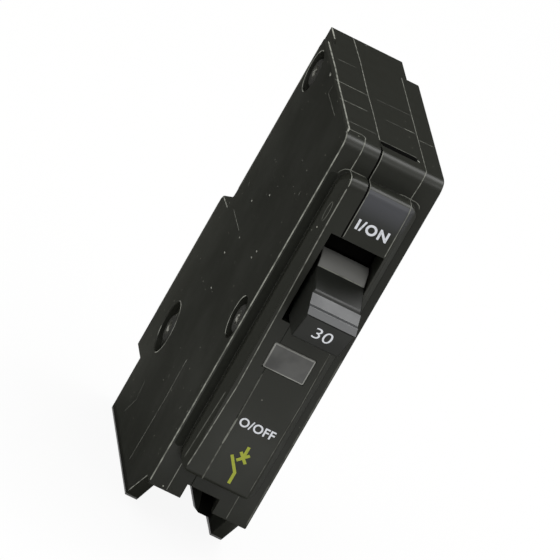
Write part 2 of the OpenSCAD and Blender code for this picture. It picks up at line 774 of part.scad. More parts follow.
module moving_contact() {
    color("#cfd0cc") on_arm() translate([mech_x, arm_len, arm_t / 2]) cylinder(h = contact_t, r = contact_r);
}

module toggle_spring() {
    a = at(spring_x, anchor_d, anchor_l);
    b = at(spring_x, fork_d + spring_seat * cos(arm_open), fork_l + spring_seat * sin(arm_open));
    hook = post_r + spring_wire / 2 + anchor_gap;
    path = spring_path(a, b, 5, hook, hook);
    echo(toggle_spring_gap = least_gap(path, spring_wire));
    color("#a5a8aa") tube(path, spring_wire / 2);
}

module cradle() {
    hub = [cradle_d, cradle_l];
    color("#9a9c9d") difference() {
        union() {
            peg(cradle_x0, cradle_x1, cradle_d, cradle_l, cradle_hub_r);
            link(cradle_x0, cradle_x1, hub, [anchor_d, anchor_l], anchor_w);
            link(cradle_x0, cradle_x1, hub, [toe_d, toe_l], toe_w);
            peg(cradle_x1 - sink, spring_post_end, anchor_d, anchor_l, post_r);
        }
        peg(cradle_x0 - over, cradle_x1 + over, cradle_d, cradle_l, cradle_pin_r + run);
    }
}

module cradle_pin() {
    color("#b9bab8") peg(cradle_x0 - sink, case_w - wall - trunnion_seat, cradle_d, cradle_l, cradle_pin_r);
}

module bimetal() {
    color("#8d8a80") block(mech_x - bimetal_w / 2, mech_x + bimetal_w / 2, bimetal_d, bimetal_end, bimetal_l,
        bimetal_l + bimetal_t);
}

module magnet_yoke() {
    color("#8a8d90") difference() {
        union() {
            block(mech_x - yoke_half, mech_x + yoke_half, yoke_d0, yoke_d1, yoke_l, yoke_l + iron_t);
            block(mech_x - yoke_neck, mech_x + yoke_neck, yoke_d0, yoke_d1, bimetal_l + bimetal_t, yoke_l);
            for (x = [mech_x - yoke_half, mech_x + yoke_half - iron_t]) {
                block(x, x + iron_t, yoke_d0, yoke_d1, yoke_tip, yoke_l + iron_t);
                block(x, x + iron_t, hinge_d - hinge_ear, yoke_d0, hinge_l - hinge_ear, yoke_l + iron_t);
            }
        }
        peg(mech_x - yoke_half - over, mech_x + yoke_half + over, hinge_d, hinge_l, hinge_r + run);
    }
}

module armature() {
    inner = yoke_half - iron_t - pass;
    color("#95989a") {
        block(mech_x - armature_half, mech_x + armature_half, armature_start, armature_end, armature_l,
            armature_l + iron_t);
        block(mech_x - inner, mech_x + inner, hinge_d, armature_start, armature_l, armature_l + iron_t);
        peg(mech_x - yoke_half, mech_x + yoke_half, hinge_d, hinge_l, hinge_r);
        peg(mech_x - armature_half - armature_pin_len, mech_x - armature_half + sink, armature_pin_d, hinge_l,
            armature_pin_r);
    }
}

module armature_spring() {
    x = mech_x - armature_half - armature_pin_len / 2;
    hook = armature_pin_r + spring_wire / 2 + anchor_gap;
    path = spring_path(at(x, armature_pin_d, armature_post_l), at(x, armature_pin_d, hinge_l), 4, hook, hook);
    echo(armature_spring_gap = least_gap(path, spring_wire));
    color("#a5a8aa") tube(path, spring_wire / 2);
}

module flexible_braid() {
    color("#b0723f") tube(curve([for (q = BRAID) at(mech_x, q.x, q.y)]), braid_dia / 2, 8);
}

module load_terminal() {
    strap_l0 = bimetal_l + bimetal_t;
    wall_l = pocket_l + ease;
    color("#b5764a") difference() {
        union() {
            slab(mech_x - strap_half, mech_x + strap_half, [[strap_d, strap_l0],
                [strap_d + strap_tab, strap_l0], [strap_d + strap_tab, strap_l0 + strap_t],
                [strap_d + strap_t, strap_l0 + strap_t],
                [strap_d + strap_t, wall_l], [terminal_d + strap_t, wall_l],
                [terminal_d + strap_t, terminal_l1], [terminal_d, terminal_l1],
                [terminal_d, wall_l + strap_t], [strap_d, wall_l + strap_t]]);
            block(terminal_x0, terminal_x0 + terminal_w, terminal_d, terminal_d + strap_t, terminal_l0,
                terminal_l1);
            post(screw_x, terminal_d + strap_t - sink, terminal_d + strap_t + collar_t, screw_l, collar_r);
        }
        post(screw_x, terminal_d - over, terminal_d + strap_t + collar_t + over, screw_l, screw_r + run);
    }
}

module clamp_plate() {
    face = clamp_d + clamp_t;
    color("#a9abac") difference() {
        block(screw_x - clamp_half, screw_x + clamp_half, clamp_d, face, screw_l - clamp_reach,
            screw_l + clamp_reach);
        post(screw_x, clamp_d - over, face + over, screw_l, screw_r + 2 * run);
        for (k = [-2:2]) block(0, case_w, face - clamp_groove, face + over,
            screw_l + k * clamp_step - clamp_groove / 2, screw_l + k * clamp_step + clamp_groove / 2);
    }
}

module terminal_screw() {
    cross_half = head_r * 0.6;
    color("#b4b6b6") difference() {
        union() {
            post(screw_x, head_d, head_d + head_t, screw_l, head_r);
            post(screw_x, head_d + head_t - sink, screw_tip, screw_l, screw_r);
        }
        block(screw_x - head_r - over, screw_x + head_r + over, head_d - over, head_d + drive_d,
            screw_l - drive_w / 2, screw_l + drive_w / 2);
        block(screw_x - drive_w / 2, screw_x + drive_w / 2, head_d - over, head_d + drive_d,
            screw_l - cross_half, screw_l + cross_half);
    }
}

module calibration_screw() {
    color("#b4b6b6") difference() {
        post(mech_x, front_wall + over, strap_d - ease, cal_l, cal_r);
        block(mech_x - cal_boss_r, mech_x + cal_boss_r, front_wall, front_wall + over + cal_slot,
            cal_l - cal_slot / 2, cal_l + cal_slot / 2);
    }
}

module arc_plates() {
    color("#808386") for (i = [0:arc_count - 1]) difference() {
        block(tongue_left + board_t + ease, tongue_right - board_t - ease, arc_d0, arc_d1,
            arc_l + i * arc_pitch, arc_l + i * arc_pitch + arc_t);
        block(mech_x - arc_notch_w / 2, mech_x + arc_notch_w / 2, arc_d0 - over, arc_d0 + arc_notch_d,
            arc_l + i * arc_pitch - over, arc_l + i * arc_pitch + arc_t + over);
    }
}

module arc_boards() {
    color("#8c5a3a") for (x = [tongue_left + ease / 2, tongue_right - board_t - ease / 2])
        block(x, x + board_t, arc_d0, arc_d1, arc_l - board_lap,
            arc_l + (arc_count - 1) * arc_pitch + arc_t + board_lap);
}

left_cover();
right_base();
case_rivets();
handle();
arm_pin();
window_lens();
trip_flag();
line_jaw();
jaw_spring();
stationary_contact();
contact_arm();
moving_contact();
toggle_spring();
cradle();
cradle_pin();
bimetal();
magnet_yoke();
armature();
armature_spring();
flexible_braid();
load_terminal();
clamp_plate();
terminal_screw();
calibration_screw();
arc_plates();
arc_boards();
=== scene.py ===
import json
import math

import bmesh
import bpy
import numpy as np
from bpy.props import FloatProperty, FloatVectorProperty, PointerProperty
from mathutils import Matrix, Vector

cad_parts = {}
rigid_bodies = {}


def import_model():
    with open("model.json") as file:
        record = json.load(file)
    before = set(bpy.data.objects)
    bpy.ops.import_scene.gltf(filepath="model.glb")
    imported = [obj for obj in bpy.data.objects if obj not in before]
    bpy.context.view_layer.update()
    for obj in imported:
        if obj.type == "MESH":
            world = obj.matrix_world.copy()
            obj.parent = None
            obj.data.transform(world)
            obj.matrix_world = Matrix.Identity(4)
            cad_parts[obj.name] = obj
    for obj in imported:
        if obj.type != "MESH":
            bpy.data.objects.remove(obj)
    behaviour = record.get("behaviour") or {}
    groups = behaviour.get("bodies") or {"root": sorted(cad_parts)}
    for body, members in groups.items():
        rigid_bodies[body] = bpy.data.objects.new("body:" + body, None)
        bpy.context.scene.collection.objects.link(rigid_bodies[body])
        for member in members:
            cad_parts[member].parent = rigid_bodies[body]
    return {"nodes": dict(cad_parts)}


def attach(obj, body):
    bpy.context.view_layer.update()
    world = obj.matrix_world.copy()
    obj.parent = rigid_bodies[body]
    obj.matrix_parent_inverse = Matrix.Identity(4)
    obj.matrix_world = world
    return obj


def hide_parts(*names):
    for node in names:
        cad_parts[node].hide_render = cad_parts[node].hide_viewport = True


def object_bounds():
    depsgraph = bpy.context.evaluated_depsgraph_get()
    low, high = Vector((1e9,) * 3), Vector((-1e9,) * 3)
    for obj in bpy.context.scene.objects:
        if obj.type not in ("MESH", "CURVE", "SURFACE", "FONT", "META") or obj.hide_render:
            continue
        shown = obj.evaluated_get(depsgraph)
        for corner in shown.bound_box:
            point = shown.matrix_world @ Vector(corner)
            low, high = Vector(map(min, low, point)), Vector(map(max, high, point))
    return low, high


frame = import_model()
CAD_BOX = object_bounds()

bl_info = {
    "name": "Circuit breaker finish",
    "version": (1, 0, 0),
    "blender": (4, 5, 0),
    "location": "View3D > Sidebar > Breaker",
    "description": "Finishes the pieces of a plug-on circuit breaker and sets up its stage",
    "category": "Object",
}

MM = 0.001

# Places in the case are given in millimetres, as on a drawing of the part: x from the left side,
# d behind the front shoulder and l from the line end.
LOW, HIGH = (np.array(corner) for corner in CAD_BOX)
TONGUE_DEPTH = 60.0
FRONT_R = 2.2
PLATEAU_H = 4.0
PLATEAU_START = 5.2
CREST_R = 1.8
CHEEK_DEPTH = 50.5
WELL_DEPTH = 1.3
CASE_W = (HIGH[0] - LOW[0]) / MM
RIVETS = ((45.3, 4.7), (45.0, 58.0), (4.6, 38.6))
PIVOT = (1.0, 24.3)
HUB_R = 5.2
HANDLE_X = (5.775, 14.875)
SCOOP, RIDGE, TIP = (np.array(v) for v in ((-3.46, 21.62), (-10.3, 24.4), (-14.7, 26.8)))
LEFT, FRONT, TOP = (np.array(v, float) for v in ((-1, 0, 0), (0, -1, 0), (0, 0, 1)))
SLOPE = np.array([-0.854, -0.52, 0])
# Printed ink stands this far above the plastic.
INK = 0.02


def at(x, d, l):
    """Turns case places into points of the frame, in metres; whole arrays are welcome."""
    x, d, l = np.broadcast_arrays(*(np.asarray(v, float) for v in (x, d, l)))
    return np.stack([LOW[0] + x * MM, HIGH[1] + (d - TONGUE_DEPTH) * MM, HIGH[2] - l * MM], axis=-1)


def linear(code):
    """Turns an sRGB hex colour into linear red, green and blue."""
    value = np.array([int(code[i:i + 2], 16) for i in (1, 3, 5)]) / 255
    return tuple(np.where(value <= 0.04045, value / 12.92, ((value + 0.055) / 1.055) ** 2.4))


def rgba(colour):
    """A shader's colour from red, green and blue."""
    return (*colour, 1.0)


# Settings that a user would change

class CaseSettings(bpy.types.PropertyGroup):
    """Sizes and colours of the moulded case."""
    edge: FloatProperty(name="Edge", description="Width of the rounding on the outer moulded edges",
                        default=0.2 * MM, unit="LENGTH", subtype="DISTANCE")
    line: FloatProperty(name="Mould line", description="Width of a mould witness line",
                        default=0.16 * MM, unit="LENGTH", subtype="DISTANCE")
    colour: FloatVectorProperty(name="Plastic", description="Colour of the moulded plastic",
                                default=linear("#262721"), subtype="COLOR", size=3)
    smudge: FloatVectorProperty(name="Smudge", description="Colour of handled, greasy patches",
                                default=linear("#2c2d28"), subtype="COLOR", size=3)
    # Partly thumb polish and partly a painted sheen on the plateau.
    polished: FloatVectorProperty(name="Polished", description="Colour of the patch that thumbs polish",
                                  default=linear("#494a4e"), subtype="COLOR", size=3)
    dust: FloatVectorProperty(name="Dust", description="Colour of dust and fine scratches",
                              default=linear("#a2a296"), subtype="COLOR", size=3)
    # Also the colour of painted highlights on rounded edges and the wells' rims.
    worn: FloatVectorProperty(name="Worn edge", description="Colour of edges rubbed by handling",
                              default=linear("#a9aaa0"), subtype="COLOR", size=3)


class HandleSettings(bpy.types.PropertyGroup):
    """Sizes and colours of the rocking handle and the window."""
    edge: FloatProperty(name="Edge", description="Width of the rounding on the handle and the lens",
                        default=0.22 * MM, unit="LENGTH", subtype="DISTANCE")
    rib: FloatProperty(name="Rib", description="Height of the two ribs under the thumb",
                       default=0.28 * MM, unit="LENGTH", subtype="DISTANCE")
    colour: FloatVectorProperty(name="Handle", description="Colour of the handle's plastic",
                                default=linear("#1c1d1a"), subtype="COLOR", size=3)
    polished: FloatVectorProperty(name="Polished", description="Colour of the ribs under the thumb",
                                  default=linear("#3c3d3e"), subtype="COLOR", size=3)
    # Partly rubbing and partly a painted highlight on the band of the hub that the light reaches.
    hub: FloatVectorProperty(name="Hub", description="Colour of the hub where it rubs in its slot",
                             default=linear("#61615e"), subtype="COLOR", size=3)
    lens: FloatVectorProperty(name="Lens", description="Colour of the trip window",
                              default=linear("#555553"), subtype="COLOR", size=3)
    # A painted highlight on the lens's rounded rim.
    rim: FloatVectorProperty(name="Lens rim", description="Colour of the window's rim, which gathers light",
                             default=linear("#91918c"), subtype="COLOR", size=3)


class PrintSettings(bpy.types.PropertyGroup):
    """Sizes and colours of the printed marks."""
    mark: FloatProperty(name="Mark height", description="Height of the upper switch mark",
                        default=2.0 * MM, unit="LENGTH", subtype="DISTANCE")
    lower: FloatProperty(name="Lower mark height", description="Height of the lower switch mark",
                         default=1.7 * MM, unit="LENGTH", subtype="DISTANCE")
    number: FloatProperty(name="Number height", description="Height of the number on the handle",
                          default=2.65 * MM, unit="LENGTH", subtype="DISTANCE")
    stroke: FloatProperty(name="Stroke", description="Width of the symbol's strokes",
                          default=0.55 * MM, unit="LENGTH", subtype="DISTANCE")
    white: FloatVectorProperty(name="White ink", description="Colour of the pad-printed letters",
                               default=linear("#d3d5da"), subtype="COLOR", size=3)
    olive: FloatVectorProperty(name="Olive ink", description="Colour of the printed symbol",
                               default=linear("#979e36"), subtype="COLOR", size=3)


class StageSettings(bpy.types.PropertyGroup):
    """Camera, lamps and floor."""
    azimuth: FloatProperty(name="Azimuth", description="Camera's bearing round the part",
                           default=math.radians(-13.94), subtype="ANGLE")
    elevation: FloatProperty(name="Elevation", description="Camera's height angle",
                             default=math.radians(16.05), subtype="ANGLE")
    roll: FloatProperty(name="Roll", description="Camera's turn about its own line of sight",
                        default=math.radians(-29.96), subtype="ANGLE")
    distance: FloatProperty(name="Distance", description="From the aim point to the camera",
                            default=1.4496, unit="LENGTH", subtype="DISTANCE")
    focal: FloatProperty(name="Focal length", description="Lens in millimetres on a 36 mm sensor",
                         default=542.5, subtype="DISTANCE_CAMERA")
    aim: FloatVectorProperty(name="Aim", description="Point that the camera looks at",
                             default=(-0.00309, -0.00607, 0.04509), subtype="TRANSLATION", size=3)
    floor: FloatVectorProperty(name="Floor", description="Colour of the floor",
                               default=linear("#f4f4f2"), subtype="COLOR", size=3)


# Building meshes from arrays

def grid_faces(rows, cols, wrap=False):
    """Quads between the rows and columns of a grid of points; wrap joins the last column to the first."""
    r = np.arange(rows - 1)[:, None]
    c = np.arange(cols if wrap else cols - 1)[None, :]
    n = (c + 1) % cols
    corners = np.broadcast_arrays(r * cols + c, r * cols + n, (r + 1) * cols + n, (r + 1) * cols + c)
    return np.stack(corners, axis=-1).reshape(-1, 4)


def join(parts):
    """Puts several grids of points, each with its faces, into one list of points and one of faces."""
    sizes = np.cumsum([0] + [len(points) for points, faces in parts])
    points = np.concatenate([points for points, faces in parts])
    faces = np.concatenate([faces + start for (points, faces), start in zip(parts, sizes)])
    return points, faces


def resample(keys, step=0.3):
    """Points spread evenly, about a step apart, along straight runs between key points."""
    keys = np.asarray(keys, float)
    along = np.concatenate([[0], np.cumsum(np.linalg.norm(np.diff(keys, axis=0), axis=1))])
    want = np.linspace(0, along[-1], max(5, math.ceil(along[-1] / step)))
    return np.stack([np.interp(want, along, keys[:, k]) for k in range(keys.shape[1])], axis=-1)


def rib(path, normal, width, height):
    """A half-round strip along a path. Across it, the angle a runs from 0 to pi, and a point lies at the
    path plus half the width times cos a to the side and the height times sin a along the normal. Both
    shrink over the last half millimetre at either end, and the strip's foot sinks a little."""
    path = np.asarray(path, float)
    normal = np.broadcast_to(normal, path.shape)
    side = np.cross(np.gradient(path, axis=0), normal)
    side /= np.linalg.norm(side, axis=1, keepdims=True)
    taper, blunt, sink = 0.5 * MM, 0.3, 0.01 * MM
    turn = np.linspace(0, math.pi, 5)
    along = np.concatenate([[0], np.cumsum(np.linalg.norm(np.diff(path, axis=0), axis=1))])
    swell = np.minimum(1, np.minimum(along, along[-1] - along) / taper + blunt)
    across = 0.5 * width * swell[:, None, None] * np.cos(turn)[None, :, None] * side[:, None, :]
    rise = (height * swell[:, None, None] * np.sin(turn)[None, :, None] - sink) * normal[:, None, :]
    return (path[:, None, :] + across + rise).reshape(-1, 3), grid_faces(len(path), len(turn))


def strip(path, normal, width, thick):
    """A flat band of even width along a path, raised by its thickness: the four corners of its section
    are half the width to either side, on the surface and above it."""
    side = np.cross(np.gradient(path, axis=0), normal)
    side *= 0.5 * width / np.linalg.norm(side, axis=1, keepdims=True)
    lift = np.asarray(normal) * thick
    ring = np.stack([path - side, path + side, path + side + lift, path - side + lift], axis=1)
    ends = [np.arange(4), np.arange(4)[::-1] + 4 * (len(path) - 1)]
    return ring.reshape(-1, 3), np.concatenate([grid_faces(len(path), 4, wrap=True), ends])


def lathe(profile, centre, axis, start, steps=48):
    """A profile of (radius, height) turned about an axis: a point lies at the centre plus the height along
    the axis and the radius times cos and sin of the angle across it."""
    other = np.cross(axis, start)
    angle = np.linspace(0, 2 * math.pi, steps, endpoint=False)
    spoke = np.cos(angle)[:, None] * start + np.sin(angle)[:, None] * other
    points = centre + profile[:, 1, None, None] * axis + profile[:, 0, None, None] * spoke
    return points.reshape(-1, 3), grid_faces(len(profile), steps, wrap=True)


def make_piece(name, shape, material, body, tone=None):
    """Puts points and faces into a smooth mesh piece that rides on a body; tone is kept for each point."""
    points, faces = shape
    mesh = bpy.data.meshes.new(name)
    mesh.from_pydata(points, [], faces)
    if tone is not None:
        mesh.attributes.new("tone", "FLOAT", "POINT").data.foreach_set("value", tone)
    return finish_piece(bpy.data.objects.new(name, mesh), material, body)


def finish_piece(piece, material, body):
    """Links a piece, points its faces outwards, gives it its material and lets it ride on a body."""
    merge, sharp = 1e-7, math.radians(32)
    bpy.context.scene.collection.objects.link(piece)
    shell = bmesh.new()
    shell.from_mesh(piece.data)
    bmesh.ops.remove_doubles(shell, verts=shell.verts, dist=merge)
    bmesh.ops.recalc_face_normals(shell, faces=shell.faces)
    shell.to_mesh(piece.data)
    shell.free()
    piece.data.materials.clear()
    piece.data.materials.append(material)
    piece.data.shade_smooth()
    piece.data.set_sharp_from_angle(angle=sharp)
    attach(piece, body)
    return piece


def rounded_copy(part, name, material, width, share=None, rim=None):
    """Stands in for a CAD solid: the same faces, with the edges between them rounded. From the middle of an
    edge, share gives the part of the width that it gets; rim is the rounding's own material; on the lens it
    paints a highlight."""
    merge, flush, corner = 2e-6, math.radians(0.5), math.radians(28)
    mesh = frame["nodes"][part].data.copy()
    mesh.name = name
    shell = bmesh.new()
    shell.from_mesh(mesh)
    bmesh.ops.remove_doubles(shell, verts=shell.verts, dist=merge)
    bmesh.ops.dissolve_limit(shell, angle_limit=flush, verts=shell.verts, edges=shell.edges)
    weight = shell.edges.layers.float.new("bevel_weight_edge")
    for edge in shell.edges:
        if edge.calc_face_angle(0) > corner:
            edge[weight] = share((edge.verts[0].co + edge.verts[1].co) / 2) if share else 1.0
    shell.to_mesh(mesh)
    shell.free()
    body = frame["nodes"][part].parent.name.split(":")[1]
    piece = finish_piece(bpy.data.objects.new(name, mesh), material, body)
    edge = piece.modifiers.new("rounded_edges", "BEVEL")
    edge.width = width
    edge.segments = 2
    edge.limit_method = "WEIGHT"
    edge.use_clamp_overlap = False
    if rim:
        piece.data.materials.append(rim)
        edge.material = 1
    flat = piece.modifiers.new("flat_faces", "WEIGHTED_NORMAL")
    flat.keep_sharp = True
    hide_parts(part)
    return piece


# Materials. In the calls below, Map Range's sockets run value, from low, from high, to low, to high, and
# a colour Mix has its factor in socket 0, its colours in 6 and 7 and its result in 2.

SMOOTH = {"interpolation_type": "SMOOTHSTEP"}
COLOUR = {"data_type": "RGBA", "output": 2}


def node(tree, kind, inputs=None, output=0, **settings):
    """Adds a node with its settings, sets or links its inputs and gives back one of its outputs."""
    made = tree.nodes.new("ShaderNode" + kind)
    for key, value in settings.items():
        setattr(made, key, value)
    for key, value in (inputs or {}).items():
        if isinstance(value, bpy.types.NodeSocket):
            tree.links.new(value, made.inputs[key])
        else:
            made.inputs[key].default_value = value
    return made.outputs[output]


def new_material(name, values, links=None):
    """A material with one principled shader: plain values are set on the shader's own sockets, and links is
    a function that gives the outputs which feed the others."""
    material = bpy.data.materials.new(name)
    material.use_nodes = True
    tree = material.node_tree
    shader = tree.nodes["Principled BSDF"]
    for key, value in values.items():
        shader.inputs[key].default_value = value
    if links:
        place = node(tree, "TexCoord", output="Object")
        for key, value in links(tree, place).items():
            tree.links.new(value, shader.inputs[key])
    return material


def moulded_thermoset(settings):
    """Thermoset, compression moulded: near black and half matt, with greasy smudges about 14 mm across, a few
    specks of dust, sides that grow paler towards the back, and a paler patch above the handle that is partly
    where thumbs have polished it and partly a painted sheen."""
    def links(tree, place):
        patch = node(tree, "TexNoise", {"Vector": place, "Scale": 1 / (14 * MM), "Detail": 4.0})
        smudge = node(tree, "MapRange", {0: patch, 1: 0.4, 2: 0.75}, **SMOOTH)
        base = node(tree, "Mix", {0: smudge, 6: rgba(settings.colour), 7: rgba(settings.smudge)}, **COLOUR)
        # The paler patch, partly thumb polish and partly a painted sheen, lies on the plateau's top between
        # the parting line and the right crest.
        axes = node(tree, "SeparateXYZ", {0: place}).node.outputs
        parting, right_end, foot, head, under, fading = 6.9, 14.2, 12.6, 6.8, 0.6, 2 * MM
        near, far = at([parting, right_end], under - PLATEAU_H, [foot, head])
        along = node(tree, "MapRange", {0: axes["Z"], 1: near[2], 2: far[2]}, **SMOOTH)
        fade = {0: axes["X"], 1: far[0], 2: far[0] + fading, 3: 0.9, 4: 0.25}
        right = node(tree, "MapRange", fade, **SMOOTH)
        inside = node(tree, "Math", {0: axes["X"], 1: near[0]}, operation="GREATER_THAN")
        above = node(tree, "Math", {0: axes["Y"], 1: near[1]}, operation="LESS_THAN")
        thumb = node(tree, "Math", {0: along, 1: right}, operation="MULTIPLY")
        face = node(tree, "Math", {0: inside, 1: above}, operation="MULTIPLY")
        thumb = node(tree, "Math", {0: thumb, 1: face}, operation="MULTIPLY")
        base = node(tree, "Mix", {0: thumb, 6: base, 7: rgba(settings.polished)}, **COLOUR)
        speck = node(tree, "TexVoronoi", {"Vector": place, "Scale": 1 / (2.3 * MM)})
        close = node(tree, "MapRange", {0: speck, 1: 0.04, 2: 0.075, 3: 1.0, 4: 0.0}, **SMOOTH)
        rare = node(tree, "SeparateColor", {0: speck.node.outputs["Color"]})
        rare = node(tree, "MapRange", {0: rare, 1: 0.72, 2: 0.95}, **SMOOTH)
        dust = node(tree, "Math", {0: rare, 1: close}, operation="MULTIPLY")
        # The two sides grow paler towards the back, and so does what lies behind the cheeks.
        paling_depth, past_cheeks = 36, CHEEK_DEPTH + 0.1
        paling_start, behind_cheeks = at(0, [paling_depth, past_cheeks], 0)[:, 1]
        side_face, end_face = HIGH[0] - 0.15 * MM, HIGH[2] - 0.05 * MM
        back = node(tree, "MapRange", {0: axes["Y"], 1: paling_start, 2: HIGH[1], 4: 0.05}, **SMOOTH)
        side = node(tree, "Math", {0: axes["X"]}, operation="ABSOLUTE")
        side = node(tree, "Math", {0: side, 1: side_face}, operation="GREATER_THAN")
        behind = node(tree, "Math", {0: axes["Y"], 1: behind_cheeks}, operation="GREATER_THAN")
        below = node(tree, "Math", {0: axes["Z"], 1: end_face}, operation="LESS_THAN")
        behind = node(tree, "Math", {0: behind, 1: below}, operation="MULTIPLY")
        side = node(tree, "Math", {0: side, 1: behind}, operation="MAXIMUM")
        paler_back = node(tree, "Math", {0: back, 1: side}, operation="MULTIPLY")
        dust = node(tree, "Math", {0: dust, 1: paler_back}, operation="MAXIMUM")
        # Moulding grain of about 0.05 mm is too fine to show, so it is drawn 0.3 mm across.
        grain = node(tree, "TexNoise", {"Vector": place, "Scale": 1 / (0.3 * MM), "Detail": 2.0})
        return {"Base Color": node(tree, "Mix", {0: dust, 6: base, 7: rgba(settings.dust)}, **COLOUR),
                "Roughness": node(tree, "MapRange", {0: patch, 1: 0.3, 2: 0.7, 3: 0.43, 4: 0.33}, **SMOOTH),
                "Normal": node(tree, "Bump", {"Height": grain, "Strength": 0.06, "Distance": 0.05 * MM})}
    return new_material("moulded_thermoset", {"Specular IOR Level": 0.32}, links)


def rubbed_thermoset(settings):
    """Thermoset rubbed by handling: its filler shows as a lighter line that breaks up every millimetre or
    two. Some of its lines, on rounded edges and the wells' rims, are painted highlights. The attribute tone
    says how pale a line is."""
    def links(tree, place):
        lightening = node(tree, "TexNoise", {"Vector": place, "Scale": 1 / (1.4 * MM), "Detail": 3.0})
        lightening = node(tree, "MapRange", {0: lightening, 1: 0.32, 2: 0.6, 3: 0.4, 4: 1.0}, **SMOOTH)
        tone = node(tree, "Attribute", output="Fac", attribute_name="tone")
        lightening = node(tree, "Math", {0: lightening, 1: tone}, operation="MULTIPLY")
        mix = {0: lightening, 6: rgba(settings.colour), 7: rgba(settings.worn)}
        return {"Base Color": node(tree, "Mix", mix, **COLOUR)}
    return new_material("rubbed_thermoset", {"Specular IOR Level": 0.2, "Roughness": 0.55}, links)


def handled_thermoset(name, colour, specular):
    """Thermoset polished by thumbs: a little glossier than the case, with soft smears about 5 mm across."""
    def links(tree, place):
        smear = node(tree, "TexNoise", {"Vector": place, "Scale": 1 / (5 * MM), "Detail": 3.0})
        lighter = rgba(tuple(c * 1.3 for c in colour))
        # Moulding grain of about 0.05 mm is too fine to show, so it is drawn 0.35 mm across.
        grain = node(tree, "TexNoise", {"Vector": place, "Scale": 1 / (0.35 * MM), "Detail": 2.0})
        return {"Base Color": node(tree, "Mix", {0: smear, 6: rgba(colour), 7: lighter}, **COLOUR),
                "Roughness": node(tree, "MapRange", {0: smear, 1: 0.3, 2: 0.7, 3: 0.38, 4: 0.3}, **SMOOTH),
                "Normal": node(tree, "Bump", {"Height": grain, "Strength": 0.05, "Distance": 0.05 * MM})}
    return new_material(name, {"Specular IOR Level": specular}, links)


def sooty_thermoset(name, deep, pale):
    """Painted shade: near-black, dull thermoset laid in slots, grooves and recesses where shade falls, so
    that little light comes back from it.
    """
    def links(tree, place):
        shade = node(tree, "TexNoise", {"Vector": place, "Scale": 1 / (2 * MM), "Detail": 2.0})
        mix = {0: shade, 6: rgba(linear(deep)), 7: rgba(linear(pale))}
        return {"Base Color": node(tree, "Mix", mix, **COLOUR)}
    return new_material(name, {"Roughness": 0.9, "Specular IOR Level": 0.02}, links)


def moulded_acrylic(name, colour):
    """Tinted acrylic, injection moulded: a smooth cloudy grey that drifts over about 4 mm."""
    def links(tree, place):
        cloud = node(tree, "TexNoise", {"Vector": place, "Scale": 1 / (4 * MM), "Detail": 2.0})
        cloud = node(tree, "MapRange", {0: cloud, 1: 0.35, 2: 0.65}, **SMOOTH)
        dark = rgba(tuple(c * 0.6 for c in colour))
        return {"Base Color": node(tree, "Mix", {0: cloud, 6: rgba(colour), 7: dark}, **COLOUR)}
    return new_material(name, {"Roughness": 0.35, "Specular IOR Level": 0.4}, links)


def pad_print(name, colour):
    """Pad-printed ink: matt and thin, uneven over half a millimetre where the plastic shows through."""
    def links(tree, place):
        cover = node(tree, "TexNoise", {"Vector": place, "Scale": 1 / (0.5 * MM), "Detail": 2.0})
        cover = node(tree, "MapRange", {0: cover, 1: 0.55, 2: 0.75}, **SMOOTH)
        thin = rgba(tuple(c * 0.75 for c in colour))
        return {"Base Color": node(tree, "Mix", {0: cover, 6: rgba(colour), 7: thin}, **COLOUR)}
    return new_material(name, {"Roughness": 0.6, "Specular IOR Level": 0.3}, links)


def worked_metal(name, bright, dull, roughness, patch_mm):
    """Metal whose tarnish or plating varies in patches of a given size; the dull parts are also rougher."""
    def links(tree, place):
        patch = node(tree, "TexNoise", {"Vector": place, "Scale": 1 / (patch_mm * MM), "Detail": 5.0})
        share = node(tree, "MapRange", {0: patch, 1: 0.35, 2: 0.7}, **SMOOTH)
        rough = {0: patch, 1: 0.3, 2: 0.7, 3: roughness * 0.8, 4: roughness * 1.3}
        mix = {0: share, 6: rgba(linear(bright)), 7: rgba(linear(dull))}
        return {"Base Color": node(tree, "Mix", mix, **COLOUR),
                "Roughness": node(tree, "MapRange", rough, **SMOOTH)}
    return new_material(name, {"Metallic": 1.0}, links)


def plain_stock(name, colour, roughness):
    """Moulded nylon, pressed board or a blackened skin, with a faint unevenness of tone over 2.5 mm."""
    def links(tree, place):
        tone = node(tree, "TexNoise", {"Vector": place, "Scale": 1 / (2.5 * MM), "Detail": 3.0})
        dull = rgba(tuple(c * 0.75 for c in linear(colour)))
        return {"Base Color": node(tree, "Mix", {0: tone, 6: rgba(linear(colour)), 7: dull}, **COLOUR)}
    return new_material(name, {"Roughness": roughness, "Specular IOR Level": 0.4}, links)


# Operators, one for each piece or group of like pieces

class BREAKER_OT_case(bpy.types.Operator):
    """Round the edges of the two case halves and give them their moulded finish"""
    bl_idname = "breaker.case"
    bl_label = "Case halves"

    def execute(self, context):
        settings = context.scene.breaker_case
        plastic = moulded_thermoset(settings)
        for part in ("left_cover", "right_base"):
            rounded_copy(part, "moulded_" + part, plastic, settings.edge,
                         share=self.outer_edges)
        return {"FINISHED"}

    @staticmethod
    def outer_edges(middle):
        """The edges of the left and right faces are rounder than the rest."""
        near, inner_share = 0.05, 0.35
        x = (middle.x - LOW[0]) / MM
        return 1.0 if x < near or x > CASE_W - near else inner_share


